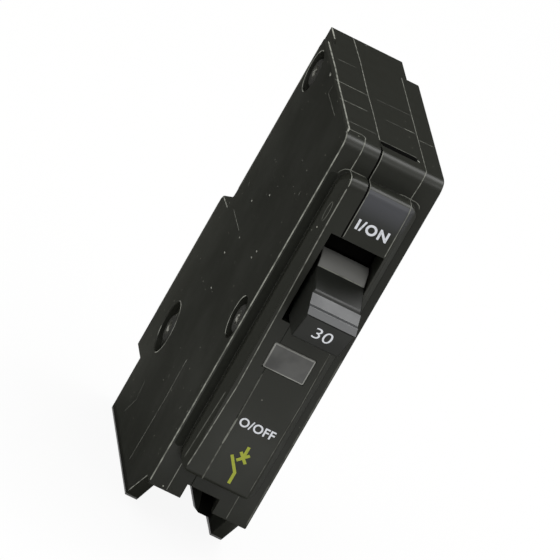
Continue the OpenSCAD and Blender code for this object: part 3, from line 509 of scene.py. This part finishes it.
class BREAKER_OT_mould_lines(bpy.types.Operator):
    """Draw the witness lines that the mould leaves on the case, its rubbed edges with painted highlights, and
    dark strips of painted shade
    """
    bl_idname = "breaker.mould_lines"
    bl_label = "Mould lines"

    # Each line is its tone, its share of the line's width and its places: on the line end as (x, d), on the
    # left side as (d, l), on the plateau's top, its left crest and the shoulder as (x, l), and on the
    # plateau's left slope as (x, d, l).
    END = ((0.35, 0.8, ((1.9, 42.3), (5.7, 42.6))), (0.6, 1.0, ((0.2, 29.4), (6.8, 29.4))),
           (0.6, 1.0, ((0.2, 19.7), (5.8, 20.0))), (0.4, 0.8, ((0.2, 9.0), (6.6, 9.3))),
           (0.55, 1.2, ((6.8, 59.5), (7.0, 46.9), (6.85, 29.8), (6.95, 20.3), (6.88, 6.8))),
           (0.25, 0.7, ((8.5, 29.6), (15.4, 30.1))), (0.25, 0.7, ((9.3, 20.2), (12.9, 20.5))),
           (0.7, 1.0, ((12.9, 20.5), (15.4, 20.7))), (0.5, 0.9, ((15.6, 17.9), (18.6, 18.1))),
           (0.9, 2.0, ((2.5, 59.8), (2.5, 53.6))), (0.5, 0.9, ((6.9, 6.9), (14.2, 7.15))),
           # The left edge of the line end is partly rubbed and partly a painted highlight.
           (0.72, 2.1, ((0.15, 2.4), (0.8, 5.0), (0.85, 16.0), (0.85, 28.0), (1.0, 36.0), (0.9, 50.2))),
           (0.8, 2.2, ((14.2, 6.0), (14.5, 5.1))), (0.5, 1.6, ((10.8, 12.5), (11.0, 12.4))),
           (0.6, 1.6, ((17.2, 6.9), (17.4, 6.9))))
    SIDE = ((0.5, 0.8, ((45.8, 33.6), (34.1, 33.3))), (0.95, 1.6, ((57.0, 35.6), (50.4, 35.2))),
            (0.55, 1.0, ((20.1, 54.5), (19.6, 62.0), (20.2, 75.0))), (0.9, 2.4, ((20.0, 54.1), (20.1, 54.9))),
            (0.4, 0.8, ((27.2, 0.3), (27.4, 2.2), (15.0, 2.0))),
            (0.3, 1.0, ((39.2, 67.0), (37.9, 70.4), (41.3, 74.3))),
            (0.9, 1.3, ((9.7, 76.8), (3.1, 70.6))), (0.8, 3.5, ((33.8, 0.6), (32.4, 0.6))),
            # The two wide, faint lines along the back edges are painted highlights where the rounded back
            # edge catches light.
            (0.2, 5.0, ((50.1, 1.0), (50.1, 31.4))), (0.2, 5.0, ((57.7, 37.0), (57.7, 60.4))))
    SPECKS = ((15.3, 29.7), (35.3, 38.3), (31.3, 33.5), (16.4, 31.4), (30.9, 43.8), (36.9, 28.2),
              (27.6, 23.2))
    PLATEAU = ((0.28, 0.7, ((15.3, 33.2), (15.5, 45.0), (15.3, 63.0))),
               (0.2, 1.5, ((6.86, 43.0), (6.95, 52.0))), (0.4, 2.0, ((6.95, 52.0), (6.86, 57.5))),
               (0.22, 1.6, ((6.86, 57.5), (6.86, 64.6))))
    SHOULDER = ((0.55, 0.9, ((1.7, 6.6), (1.9, 6.05), (2.4, 5.4), (3.2, 5.13), (6.4, 5.1))),
                (0.5, 0.9, ((12.8, 5.15), (13.5, 5.0), (15.0, 5.05), (16.2, 5.1), (16.9, 5.45), (17.2, 6.0))),
                (0.55, 1.0, ((3.45, 64.9), (3.45, 70.6))), (0.3, 0.9, ((15.1, 64.9), (15.1, 70.6))),
                (0.24, 1.4, ((18.75, 36.0), (18.75, 70.0))))
    LEDGE = (0.2, 1.8, ((3.0, -3.26, 49.0), (2.6, -2.6, 63.0)))
    # The left crest line is partly rubbed and partly a painted highlight.
    CREST_WEAR_AND_HIGHLIGHT = (0.5, 1.3, ((3.47, 7.2), (3.5, 14.0), (3.85, 32.0), (4.1, 47.0), (3.6, 61.0), (3.45, 63.6)))
    # Lines that run over the front edge, as (x, s); s is 0 where the line end's face turns into the edge.
    OVER = ((0.6, 1.1, ((0.2, -2.3), (3.2, -2.6), (3.7, -2.2), (3.85, -1.6), (3.66, -0.5), (3.5, 1.3),
                        (3.4, 6.1), (3.5, 9.5), (3.5, 11.3))),
            (0.5, 1.0, ((15.5, -48), (15.5, 0), (15.2, 2.5), (15.0, 6.4), (15.0, 11.3), (15.1, 19.6))),
            (0.5, 0.9, ((7.1, 0.4), (7.1, 19.6))))
    # The left edge line is partly rubbed and partly a painted highlight.
    EDGE = (0.75, 1.6, ((0.0, -1.0), (0.0, 71.5)))
    # Dark strips of painted shade, as their width, height and places: the groove as (x, s), the slit as (x,
    # d) on the line end and the recess beside the plateau as (x, l) on the shoulder.
    GROOVE = (0.4, 0.02, ((6.83, -1.3), (6.83, 19.8)))
    SLIT = (2.5, 0.05, ((6.95, 5.6), (14.1, 5.75)))
    GRIME = (1.7, 0.03, ((1.2, 6.6), (1.2, 62.5)))
    # The oval that an ejector leaves, as tone, share, place (x, d, l), half length and half width.
    OVAL = (0.24, 0.9, (2.75, -2.85, 12.6), 1.9, 0.42)
    # Painted highlights on the rims of the rivets' wells, where they catch the light, as arcs of tone, share,
    # rivet, radius and angles from the back.
    RIM_HIGHLIGHTS = ((0.8, 1.4, 0, 3.95, (-84, 110)), (1.0, 1.4, 2, 3.95, (-70, 77)), (0.9, 1.3, 1, 5.0, (-70, -255)),
            (1.0, 2.0, 1, 4.5, (20, 46)))

    def execute(self, context):
        settings = context.scene.breaker_case
        width = settings.line
        lines = [(tone, share, self.over_front(resample(keys))) for tone, share, keys in self.OVER]
        reach, lean = 0.45, 0.1
        specks = tuple((1.0, 2.5, ((d - reach, l), (d + reach, l + lean))) for d, l in self.SPECKS)
        for group, normal, place in ((self.END, TOP, lambda a, b: at(a, b, 0)),
                                     (self.SIDE + specks, LEFT, lambda a, b: at(0, a, b)),
                                     (self.PLATEAU, FRONT, lambda a, b: at(a, -PLATEAU_H, b)),
                                     (self.SHOULDER, FRONT, lambda a, b: at(a, 0, b))):
            lines += [(tone, share, (place(*resample(keys).T), normal)) for tone, share, keys in group]
        tone, share, keys = self.LEDGE
        lines += [(tone, share, (at(*resample(keys).T), SLOPE)), (*self.OVAL[:2], self.ejector_oval())]
        for x, normal, highlight_share in ((0, LEFT, 1.0), (CASE_W, -LEFT, 0.5)):
            lines += [(tone * highlight_share, share, (self.rim(x, rivet, radius, angles), normal))
                      for tone, share, rivet, radius, angles in self.RIM_HIGHLIGHTS]
        lines += [(*self.EDGE[:2], self.left_edge()), (*self.CREST_WEAR_AND_HIGHLIGHT[:2], self.left_crest())]
        parts = [rib(path, normal, width * share, width / 4) for tone, share, (path, normal) in lines]
        tones = np.repeat([line[0] for line in lines], [len(points) for points, faces in parts])
        rubbed = rubbed_thermoset(settings)
        make_piece("mould_witness_lines", join(parts), rubbed, "case", tones)
        self.dark_strips()
        return {"FINISHED"}

    def dark_strips(self):
        """Painted shade: dark strips in the groove and the slit between the halves, and in the recess on the
        shoulder beside the plateau.
        """
        width, height, keys = self.GROOVE
        groove = rib(*self.over_front(resample(keys)), width * MM, height * MM)
        width, height, keys = self.SLIT
        slit = rib(at(*resample(keys).T, 0), TOP, width * MM, height * MM)
        shade = sooty_thermoset("sooty_thermoset", "#060605", "#0b0b0a")
        make_piece("parting_groove", join([groove, slit]), shade, "case")
        # Painted shade in the recess beside the plateau's foot.
        width, height, keys = self.GRIME
        x, l = resample(keys).T
        painted_shoulder_shade = rib(at(x, 0, l), FRONT, width * MM, height * MM)
        shoulder_shade_finish = sooty_thermoset("grimed_thermoset", "#1e1f1b", "#282925")
        make_piece("shoulder_grime", painted_shoulder_shade, shoulder_shade_finish, "case")

    @staticmethod
    def over_front(keys, climbs=True):
        """Carries (x, s) on to the case's front: s runs from the line end's face over the front edge and
        along the shoulder, and where it climbs, up the plateau's end, over its crest and along its top. Each
        straight run adds its length to s, and each rounding adds a quarter circle."""
        x, s = keys.T
        quarter = math.pi / 2
        rise = PLATEAU_H - CREST_R
        level = PLATEAU_START - FRONT_R if climbs else s.max()
        runs = np.cumsum([FRONT_R * quarter, level, rise, CREST_R * quarter])
        edge = np.clip(s / FRONT_R, 0, quarter)
        shoulder = np.clip(s - runs[0], 0, runs[1] - runs[0])
        climb = np.clip(s - runs[1], 0, rise)
        crest = np.clip((s - runs[2]) / CREST_R, 0, quarter)
        d = -np.minimum(s, 0) + FRONT_R * (1 - np.sin(edge)) - climb - CREST_R * np.sin(crest)
        l = FRONT_R * (1 - np.cos(edge)) + shoulder + CREST_R * (1 - np.cos(crest))
        l = l + np.maximum(s - runs[3], 0)
        tilt = np.where(s < runs[1], edge, crest)
        return at(x, d, l), np.sin(tilt)[:, None] * FRONT + np.cos(tilt)[:, None] * TOP

    def left_edge(self):
        """The left side's edge, partly rubbed and partly a painted highlight, over the front edge and down
        the shoulder, set a little inwards because the edge is rounded."""
        inset = 0.1 * MM
        path, normal = self.over_front(resample(self.EDGE[2]), climbs=False)
        outward = (normal + LEFT) / math.sqrt(2)
        return path - inset * outward, outward

    def left_crest(self):
        """The crest of the plateau's left slope, partly rubbed and partly a painted highlight, which wanders
        inwards to the middle of its length.
        """
        x, l = resample(self.CREST_WEAR_AND_HIGHLIGHT[2]).T
        return at(x, -PLATEAU_H, l), FRONT

    def ejector_oval(self):
        """A long oval on the plateau's left slope: cos of an angle along the case and sin up the slope."""
        (x, d, l), half_length, half_width = self.OVAL[2:]
        angle = np.linspace(0, 2 * math.pi, 48)
        up = half_width * np.sin(angle)
        return at(x - up * SLOPE[1], d + up * SLOPE[0], l + half_length * np.cos(angle)), SLOPE

    @staticmethod
    def rim(x, rivet, radius, angles):
        """Part of a circle about a rivet, on a side: cos of the angle goes back and sin goes down."""
        d, l = RIVETS[rivet]
        angle = np.radians(np.linspace(*angles, 40))
        return at(x, d + radius * np.cos(angle), l + radius * np.sin(angle))


class BREAKER_OT_scuffs(bpy.types.Operator):
    """Scatter a few hairline scuffs on the two sides"""
    bl_idname = "breaker.scuffs"
    bl_label = "Scuffs"

    def execute(self, context):
        random = np.random.default_rng(11)
        count = 22
        depths, lengths, half_lengths, rubs = (4, 46), (8, 66), (0.15, 0.9), (0.25, 0.8)
        width = context.scene.breaker_case.line
        step = np.linspace(-1, 1, 3)[:, None]
        parts, tones = [], []
        for x, normal in ((0, LEFT), (CASE_W, -LEFT)):
            d, l = random.uniform(*depths, count), random.uniform(*lengths, count)
            reach, turn = random.uniform(*half_lengths, count), random.uniform(0, math.pi, count)
            paths = at(x, d + step * reach * np.sin(turn), l + step * reach * np.cos(turn))
            parts += [rib(paths[:, k], normal, width * 0.7, width / 5) for k in range(count)]
            tones.append(random.uniform(*rubs, count))
        tones = np.repeat(np.concatenate(tones), len(parts[0][0]))
        rubbed = bpy.data.materials["rubbed_thermoset"]
        make_piece("hairline_scuffs", join(parts), rubbed, "case", tones)
        return {"FINISHED"}


class BREAKER_OT_rivets(bpy.types.Operator):
    """Turn the three hollow rivets with their blackened heads and burnished bores, whose pale metal also
    paints a highlight
    """
    bl_idname = "breaker.rivets"
    bl_label = "Rivets"

    def execute(self, context):
        black = plain_stock("blackened_rivet_steel", "#383834", 0.6)
        # The bores' pale burnished metal is partly a painted highlight.
        bright = worked_metal("burnished_rivet_steel", "#b4b4ac", "#86867f", 0.4, 1.0)
        # Radii of the head, its bore and the shank, depths below the side of the head's top and the bore's
        # floor, and radii of the roundings at the bore and round the head.
        head, bore, shank = 2.7, 1.0, 1.4
        sunk, floor = 0.3, WELL_DEPTH - 0.1
        lip_r, brow_r = 0.4, 0.6
        quarter = np.linspace(0, math.pi / 2, 7)
        over, down = 1 - np.sin(quarter), 1 - np.cos(quarter)
        lip = np.stack([bore + lip_r * down, sunk + lip_r * over], axis=-1)
        brow = np.stack([head - brow_r * over, sunk + brow_r * down], axis=-1)
        dimple = np.concatenate([[(0, floor), (bore, floor)], lip])
        near = np.concatenate([lip[-1:], brow, [(head, WELL_DEPTH), (shank, WELL_DEPTH)]])
        both = [near, near[::-1] * (1, -1) + (0, CASE_W)]
        heads = [lathe(np.concatenate(both) * MM, at(0, d, l), -LEFT, FRONT) for d, l in RIVETS]
        piece = make_piece("rivet_heads", join(heads), black, "case")
        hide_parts("case_rivets")
        ends = [dimple, dimple * (1, -1) + (0, CASE_W)]
        bores = [lathe(end * MM, at(0, d, l), -LEFT, FRONT) for d, l in RIVETS for end in ends]
        make_piece("rivet_bores", join(bores), bright, "case")
        return {"FINISHED"}


class BREAKER_OT_handle(bpy.types.Operator):
    """Round the handle's edges, finish its hub and lay the two thumb ribs on it"""
    bl_idname = "breaker.handle"
    bl_label = "Handle"

    def execute(self, context):
        settings = context.scene.breaker_handle
        plastic = handled_thermoset("handled_thermoset", settings.colour, 0.3)
        polished = handled_thermoset("thumb_polished_thermoset", settings.polished, 0.6)
        # The hub's pale finish is partly rubbing and partly a painted highlight.
        rubbed = handled_thermoset("slot_rubbed_thermoset", settings.hub, 0.15)
        handle = rounded_copy("handle", "moulded_handle", plastic, settings.edge,
                              share=self.not_kink)
        self.finish_hub(handle.data, rubbed, bpy.data.materials["sooty_thermoset"])
        make_piece("thumb_ribs", self.ribs(settings.rib), polished, "handle")
        self.scoop_edge_highlight()
        return {"FINISHED"}

    @staticmethod
    def scoop_edge_highlight():
        """A painted highlight along the scoop's upper edge, which stops short of the handle's sides."""
        inset, width, height, tone = 0.1, 0.2 * MM, 0.06 * MM, 0.45
        outward = 0.86 * FRONT + 0.51 * TOP
        edge = at(np.linspace(HANDLE_X[0] + inset, HANDLE_X[1] - inset, 20), *SCOOP)
        points, faces = rib(edge, outward, width, height)
        rubbed = bpy.data.materials["rubbed_thermoset"]
        tones = np.full(len(points), tone)
        make_piece("worn_scoop_edge", (points, faces), rubbed, "handle", tones)

    @staticmethod
    def from_pivot(points):
        """Distances to the front and up from the handle's pivot, in millimetres."""
        return ((at(0, *PIVOT) - np.asarray(points)) / MM * (0, 1, -1))[..., 1:].T

    @staticmethod
    def not_kink(middle):
        """Every edge is rounded but the one at the foot of the thumb ribs."""
        kink, near = (10.7, 0.75), 0.3
        front, up = BREAKER_OT_handle.from_pivot(middle)
        return 0.0 if abs(front - kink[0]) < near and abs(up - kink[1]) < near else 1.0

    @staticmethod
    def finish_hub(mesh, rubbed, sooty):
        """Between two angles above the front the hub is paler, partly where it rubs in its slot and partly as
        a painted highlight; the rest of it and the shields behind the handle get painted shade, the dull
        finish of the slot."""
        inner, outer, shields_front, lowest, highest = HUB_R - 0.3, HUB_R + 0.05, 5.3, 25, 78
        middle = np.zeros(len(mesh.polygons) * 3)
        mesh.polygons.foreach_get("center", middle)
        front, up = BREAKER_OT_handle.from_pivot(middle.reshape(-1, 3))
        far, angle = np.hypot(front, up), np.degrees(np.arctan2(up, front))
        # Painted shade on all that lies deep in the slot, and a paler band, partly rubbing and partly painted
        # highlight.
        deep = (far > inner) & (front < shields_front)
        shown = deep & (far < outer) & (angle > lowest) & (angle < highest)
        mesh.materials.append(rubbed)
        mesh.materials.append(sooty)
        finish = np.where(shown, 1, np.where(deep, 2, 0)).astype(np.int32)
        mesh.polygons.foreach_set("material_index", finish)

    @staticmethod
    def ribs(height):
        """Two ribs along the handle's width, with u along the face from the ridge to the tip. Each takes half
        of the way, and over it the height climbs, more slowly on the second rib, and then falls straight;
        its ends stand a little past the handle's sides and turn down over them."""
        past, foot, steep, gentle = 0.08, -0.1 * MM, 0.04, 0.34
        u = np.linspace(0, 1, 81)
        t = np.where(u < 0.5, u * 2, u * 2 - 1)
        climb = np.where(u < 0.5, steep, gentle)
        rise = height * np.minimum(t / climb, (1 - t) / (1 - climb))
        along = TIP - RIDGE
        outward = np.array([0, along[1], along[0]]) / np.linalg.norm(along) * (1, -1, -1)
        x = np.array(HANDLE_X)[[0, 0, 1, 1]] + (-past, -past, past, past)
        points = at(x, *(RIDGE[:, None] + along[:, None] * u)[:, :, None])
        low = np.full_like(u, foot)
        lift = np.stack([low, rise, rise, low], axis=-1)
        return (points + lift[..., None] * outward).reshape(-1, 3), grid_faces(len(u), 4)


class BREAKER_OT_lens(bpy.types.Operator):
    """Round the rim of the trip window's lens and paint a highlight on the rounding"""
    bl_idname = "breaker.lens"
    bl_label = "Window lens"

    def execute(self, context):
        settings = context.scene.breaker_handle
        tint = moulded_acrylic("moulded_acrylic", settings.lens)
        rim = moulded_acrylic("moulded_acrylic_rim", settings.rim)
        rounded_copy("window_lens", "moulded_lens", tint, settings.edge * 1.2, rim=rim)
        return {"FINISHED"}


class BREAKER_OT_print(bpy.types.Operator):
    """Print the switch marks, the number and the breaker symbol"""
    bl_idname = "breaker.print"
    bl_label = "Printed marks"

    def execute(self, context):
        settings = context.scene.breaker_print
        white = pad_print("pad_printed_white_ink", settings.white)
        olive = pad_print("pad_printed_olive_ink", settings.olive)
        # Over its length, the number face comes forward by its lean, towards the line end.
        lean, length = 2.9, 5.6
        face_up = np.array([0, -lean, length]) / math.hypot(lean, length)
        on, off, number = at([11.0, 10.9, 10.35], [-PLATEAU_H, -PLATEAU_H, -13.25], [11.9, 52.3, 29.6])
        for name, words, height, bold, spread, centre, up, body in (
                ("mark_on", "I/ON", settings.mark, 0.036, 1.18, on, TOP, "case"),
                ("mark_off", "O/OFF", settings.lower, 0.02, 1.05, off, TOP, "case"),
                ("mark_number", "30", settings.number, -0.004, 1.0, number, face_up, "handle")):
            self.letters(name, words, height, bold, spread, centre, up, white, body)
        self.symbol("breaker_symbol", settings.stroke, olive)
        return {"FINISHED"}

    @staticmethod
    def letters(name, words, height, bold, spread, centre, up, ink, body):
        """Letters of a height made a thin mesh, centred on a point of the surface."""
        curve = bpy.data.curves.new(name, "FONT")
        curve.body = words
        curve.offset = bold
        curve.space_character = spread
        curve.resolution_u = 6
        maker = bpy.data.objects.new(name + "_text", curve)
        bpy.context.scene.collection.objects.link(maker)
        mesh = bpy.data.meshes.new_from_object(maker.evaluated_get(bpy.context.evaluated_depsgraph_get()))
        mesh.name = name
        bpy.data.objects.remove(maker)
        flat = np.zeros(len(mesh.vertices) * 3)
        mesh.vertices.foreach_get("co", flat)
        flat = flat.reshape(-1, 3)
        flat = (flat - (flat.max(axis=0) + flat.min(axis=0)) / 2) * height / np.ptp(flat[:, 1])
        points = centre - flat[:, :1] * LEFT + flat[:, 1:2] * up + INK * MM * np.cross(-LEFT, up)
        mesh.vertices.foreach_set("co", points.ravel())
        mesh.update()
        return finish_piece(bpy.data.objects.new(name, mesh), ink, body)

    @staticmethod
    def symbol(name, width, ink):
        """The drawing sign for a circuit breaker: two leads, a slanted blade and a small cross, in strokes
        that lie a few micrometres over one another."""
        centre, reach, arm, gap, over = np.array([11.3, 59.6]), 3.7, 0.85, 1.5, 0.005
        strokes = (((0, -reach), (0, -gap)), ((-arm, -gap - arm), (arm, -gap + arm)),
                   ((-arm, -gap + arm), (arm, -gap - arm)), ((-2.0, -1.2), (0, gap)), ((0, 1.35), (0, reach)))
        parts = []
        for layer, stroke in enumerate(strokes):
            x, l = (centre + stroke).T
            parts.append(strip(at(x, -PLATEAU_H, l), FRONT, width, (INK + over * layer) * MM))
        return make_piece(name, join(parts), ink, "case")


class BREAKER_OT_works(bpy.types.Operator):
    """Give the pieces of the mechanism and the terminals their metals and boards"""
    bl_idname = "breaker.works"
    bl_label = "Mechanism"

    def execute(self, context):
        copper = worked_metal("rolled_copper_tarnished", "#c98a5e", "#8a5335", 0.34, 3.0)
        silver = worked_metal("pressed_contact_silver", "#d8d8d4", "#a9a8a2", 0.3, 1.0)
        zinc = worked_metal("zinc_plated_steel", "#c3c6c8", "#9a9da0", 0.3, 2.0)
        spring = worked_metal("drawn_spring_steel", "#a6a9ab", "#7b7e80", 0.28, 1.0)
        bimetal = worked_metal("rolled_bimetal", "#a39d8c", "#7d7869", 0.35, 2.5)
        fibre = plain_stock("pressed_vulcanised_fibre", "#7d4a33", 0.7)
        red = plain_stock("moulded_red_nylon", "#b52a1c", 0.45)
        rounding = 0.1 * MM
        rounded = {"line_jaw": (copper, "copper"), "load_terminal": (copper, "copper"),
                   "contact_arm": (copper, "copper"), "jaw_spring": (spring, "spring_steel"),
                   "clamp_plate": (zinc, "steel"), "terminal_screw": (zinc, "steel"),
                   "cradle": (zinc, "steel"), "trip_flag": (red, "flag_plastic")}
        for part, (finish, slot) in rounded.items():
            rounded_copy(part, "finished_" + part, finish, rounding)
        plain = {"arm_pin": zinc, "cradle_pin": zinc, "stationary_contact": silver, "moving_contact": silver,
                 "toggle_spring": spring, "armature_spring": spring, "flexible_braid": copper,
                 "bimetal": bimetal, "magnet_yoke": zinc, "armature": zinc, "calibration_screw": zinc,
                 "arc_plates": zinc, "arc_boards": fibre}
        for part, finish in plain.items():
            mesh = frame["nodes"][part].data
            mesh.materials.clear()
            mesh.materials.append(finish)
        return {"FINISHED"}


class BREAKER_OT_stage(bpy.types.Operator):
    """Set up the camera, the soft studio light and the pale floor"""
    bl_idname = "breaker.stage"
    bl_label = "Stage"

    # Cards in metres, each a colour and its sheets: two X places, and the (Y, Z) places that a sheet bends
    # along. They lie just above the floor, the smaller ones on top.
    LOW_CARD, CARD_OVER, TOP_CARD = 0.0005, 0.001, 0.0015
    CARDS = (("black_card", "#101010",
              (((-1.0, 1.0), ((-0.048, LOW_CARD), (0.3, LOW_CARD), (0.36, 0.06), (0.36, 1.2))),
               ((-1.0, 1.0), ((-0.6, 0.5), (-0.6, 0.06), (-0.54, LOW_CARD), (-0.16, LOW_CARD))))),
             ("dark_grey_card", "#31322d", (((-1.0, -0.008), ((-0.02, CARD_OVER), (0.28, CARD_OVER))),)),
             ("mid_grey_card", "#454641", (((-0.06, -0.008), ((-0.02, TOP_CARD), (0.07, TOP_CARD))),)),
             ("grey_card", "#6c6c6c", (((0.01, 1.0), ((-0.02, CARD_OVER), (0.28, CARD_OVER))),)))
    # Lamps: distance from the part's middle in metres, direction, size in metres and watts.
    MIDDLE = Vector((0, 0, 0.04))
    LAMPS = (("overhead_box", 0.75, (0.231, 0.25, 0.94), 0.36, 2.1),
             ("edge_box", 0.75, (0.231, -0.658, 0.717), 0.15, 0.28),
             ("front_box", 1.2, (0.35, -0.9, 0.25), 0.7, 1.4))
    # The floor's share of plain white and the world's strength have two levels each: for the light that falls
    # on things, and as seen.
    FLOOR_RADIUS = 4.0
    FLOOR_WHITE = (0.5, 0.92)
    WORLD_LIGHT = (0.78, 1.0)

    def execute(self, context):
        settings = context.scene.breaker_stage
        context.scene.view_settings.view_transform = "Standard"
        self.camera(context, settings)
        self.floor(context, settings)
        for name, colour, sheets in self.CARDS:
            self.card(context, name, colour, sheets)
        self.world(context)
        for name, distance, direction, size, watts in self.LAMPS:
            self.softbox(context, name, self.MIDDLE + distance * Vector(direction), self.MIDDLE, size, watts)
        return {"FINISHED"}

    @staticmethod
    def camera(context, settings):
        """Places the camera on its bearing and turns it about its line of sight."""
        flat = math.cos(settings.elevation)
        out = Vector((math.sin(settings.azimuth) * flat, -math.cos(settings.azimuth) * flat,
                      math.sin(settings.elevation)))
        level = Vector((0, 0, 1)).cross(out).normalized()
        up = out.cross(level)
        side = level * math.cos(settings.roll) - up * math.sin(settings.roll)
        top = up * math.cos(settings.roll) + level * math.sin(settings.roll)
        turn = Matrix((side, top, out)).transposed().to_4x4()
        data = bpy.data.cameras.new("camera")
        data.lens = settings.focal
        data.clip_start = 0.05
        data.clip_end = 20
        camera = bpy.data.objects.new("camera", data)
        camera.matrix_world = Matrix.Translation(Vector(settings.aim) + out * settings.distance) @ turn
        context.scene.collection.objects.link(camera)
        context.scene.camera = camera

    @staticmethod
    def floor(context, settings):
        """A wide disc that the part stands on, which glows a little, like a light table. Seen directly or in
        a mirror it is white, with a soft shadow."""
        radius = BREAKER_OT_stage.FLOOR_RADIUS
        angle = np.linspace(0, 2 * math.pi, 64, endpoint=False)
        ring = np.stack([radius * np.cos(angle), radius * np.sin(angle), 0 * angle], axis=-1)
        mesh = bpy.data.meshes.new("floor")
        mesh.from_pydata(ring, [], [list(range(len(ring)))])
        floor = bpy.data.objects.new("floor", mesh)
        context.scene.collection.objects.link(floor)
        material = new_material("matt_white_board", {"Base Color": rgba(settings.floor), "Roughness": 0.9})
        tree = material.node_tree
        board = tree.nodes["Principled BSDF"].outputs[0]
        glow, white = BREAKER_OT_stage.FLOOR_WHITE
        share = node(tree, "MapRange", {0: BREAKER_OT_stage.seen_directly(tree), 3: glow, 4: white})
        mix = node(tree, "MixShader", {0: share, 1: board, 2: node(tree, "Emission", {"Strength": 1.0})})
        tree.links.new(mix, tree.nodes["Material Output"].inputs["Surface"])
        mesh.materials.append(material)

    @staticmethod
    def card(context, name, colour, sheets):
        """A studio card that only mirror rays meet, in one or more bent sheets."""
        parts = []
        for sides, bend in sheets:
            y, z = np.array(bend).T[:, :, None]
            sheet = np.stack(np.broadcast_arrays(np.array(sides), y, z), axis=-1)
            parts.append((sheet.reshape(-1, 3), grid_faces(len(bend), 2)))
        points, faces = join(parts)
        mesh = bpy.data.meshes.new(name)
        mesh.from_pydata(points, [], faces)
        card = bpy.data.objects.new(name, mesh)
        context.scene.collection.objects.link(card)
        finish = {"Base Color": rgba(linear(colour)), "Roughness": 1.0}
        mesh.materials.append(new_material("matt_" + name, finish))
        card.visible_camera = card.visible_diffuse = card.visible_shadow = card.visible_transmission = False

    @staticmethod
    def seen_directly(tree):
        """1 for camera, mirror and see-through rays, and 0 for the light that falls on things."""
        path = node(tree, "LightPath").node.outputs
        mirror = node(tree, "Math", {0: path["Is Camera Ray"], 1: path["Is Glossy Ray"]}, operation="MAXIMUM")
        return node(tree, "Math", {0: mirror, 1: path["Is Transmission Ray"]}, operation="MAXIMUM")

    @staticmethod
    def world(context):
        """White where it is seen, and a plain soft light elsewhere."""
        world = bpy.data.worlds.new("studio")
        world.use_nodes = True
        context.scene.world = world
        tree = world.node_tree
        back = tree.nodes["Background"]
        back.inputs["Color"].default_value = rgba((1, 1, 1))
        soft, white = BREAKER_OT_stage.WORLD_LIGHT
        level = node(tree, "MapRange", {0: BREAKER_OT_stage.seen_directly(tree), 3: soft, 4: white})
        tree.links.new(level, back.inputs["Strength"])

    @staticmethod
    def softbox(context, name, place, aim, size, watts):
        """A square lamp that looks at a point."""
        data = bpy.data.lights.new(name, "AREA")
        data.shape = "SQUARE"
        data.size = size
        data.energy = watts
        lamp = bpy.data.objects.new(name, data)
        lamp.location = place
        lamp.rotation_euler = (aim - place).to_track_quat("-Z", "Y").to_euler()
        context.scene.collection.objects.link(lamp)


class BREAKER_PT_panel(bpy.types.Panel):
    """The steps that finish the breaker, in order"""
    bl_idname = "BREAKER_PT_panel"
    bl_label = "Circuit breaker"
    bl_space_type = "VIEW_3D"
    bl_region_type = "UI"
    bl_category = "Breaker"

    def draw(self, context):
        for step in STEPS:
            self.layout.operator(step.bl_idname)


STEPS = (BREAKER_OT_case, BREAKER_OT_mould_lines, BREAKER_OT_scuffs, BREAKER_OT_rivets, BREAKER_OT_handle,
         BREAKER_OT_lens, BREAKER_OT_print, BREAKER_OT_works, BREAKER_OT_stage)
GROUPS = {"breaker_case": CaseSettings, "breaker_handle": HandleSettings, "breaker_print": PrintSettings,
          "breaker_stage": StageSettings}


def register():
    for name, group in GROUPS.items():
        bpy.utils.register_class(group)
        setattr(bpy.types.Scene, name, PointerProperty(type=group))
    for step in (*STEPS, BREAKER_PT_panel):
        bpy.utils.register_class(step)


def unregister():
    for step in (BREAKER_PT_panel, *reversed(STEPS)):
        bpy.utils.unregister_class(step)
    for name, group in GROUPS.items():
        delattr(bpy.types.Scene, name)
        bpy.utils.unregister_class(group)


def main():
    """Registers the classes and runs the steps in order."""
    register()
    for step in STEPS:
        group, name = step.bl_idname.split(".")
        getattr(getattr(bpy.ops, group), name)()


if __name__ == "__main__":
    main()
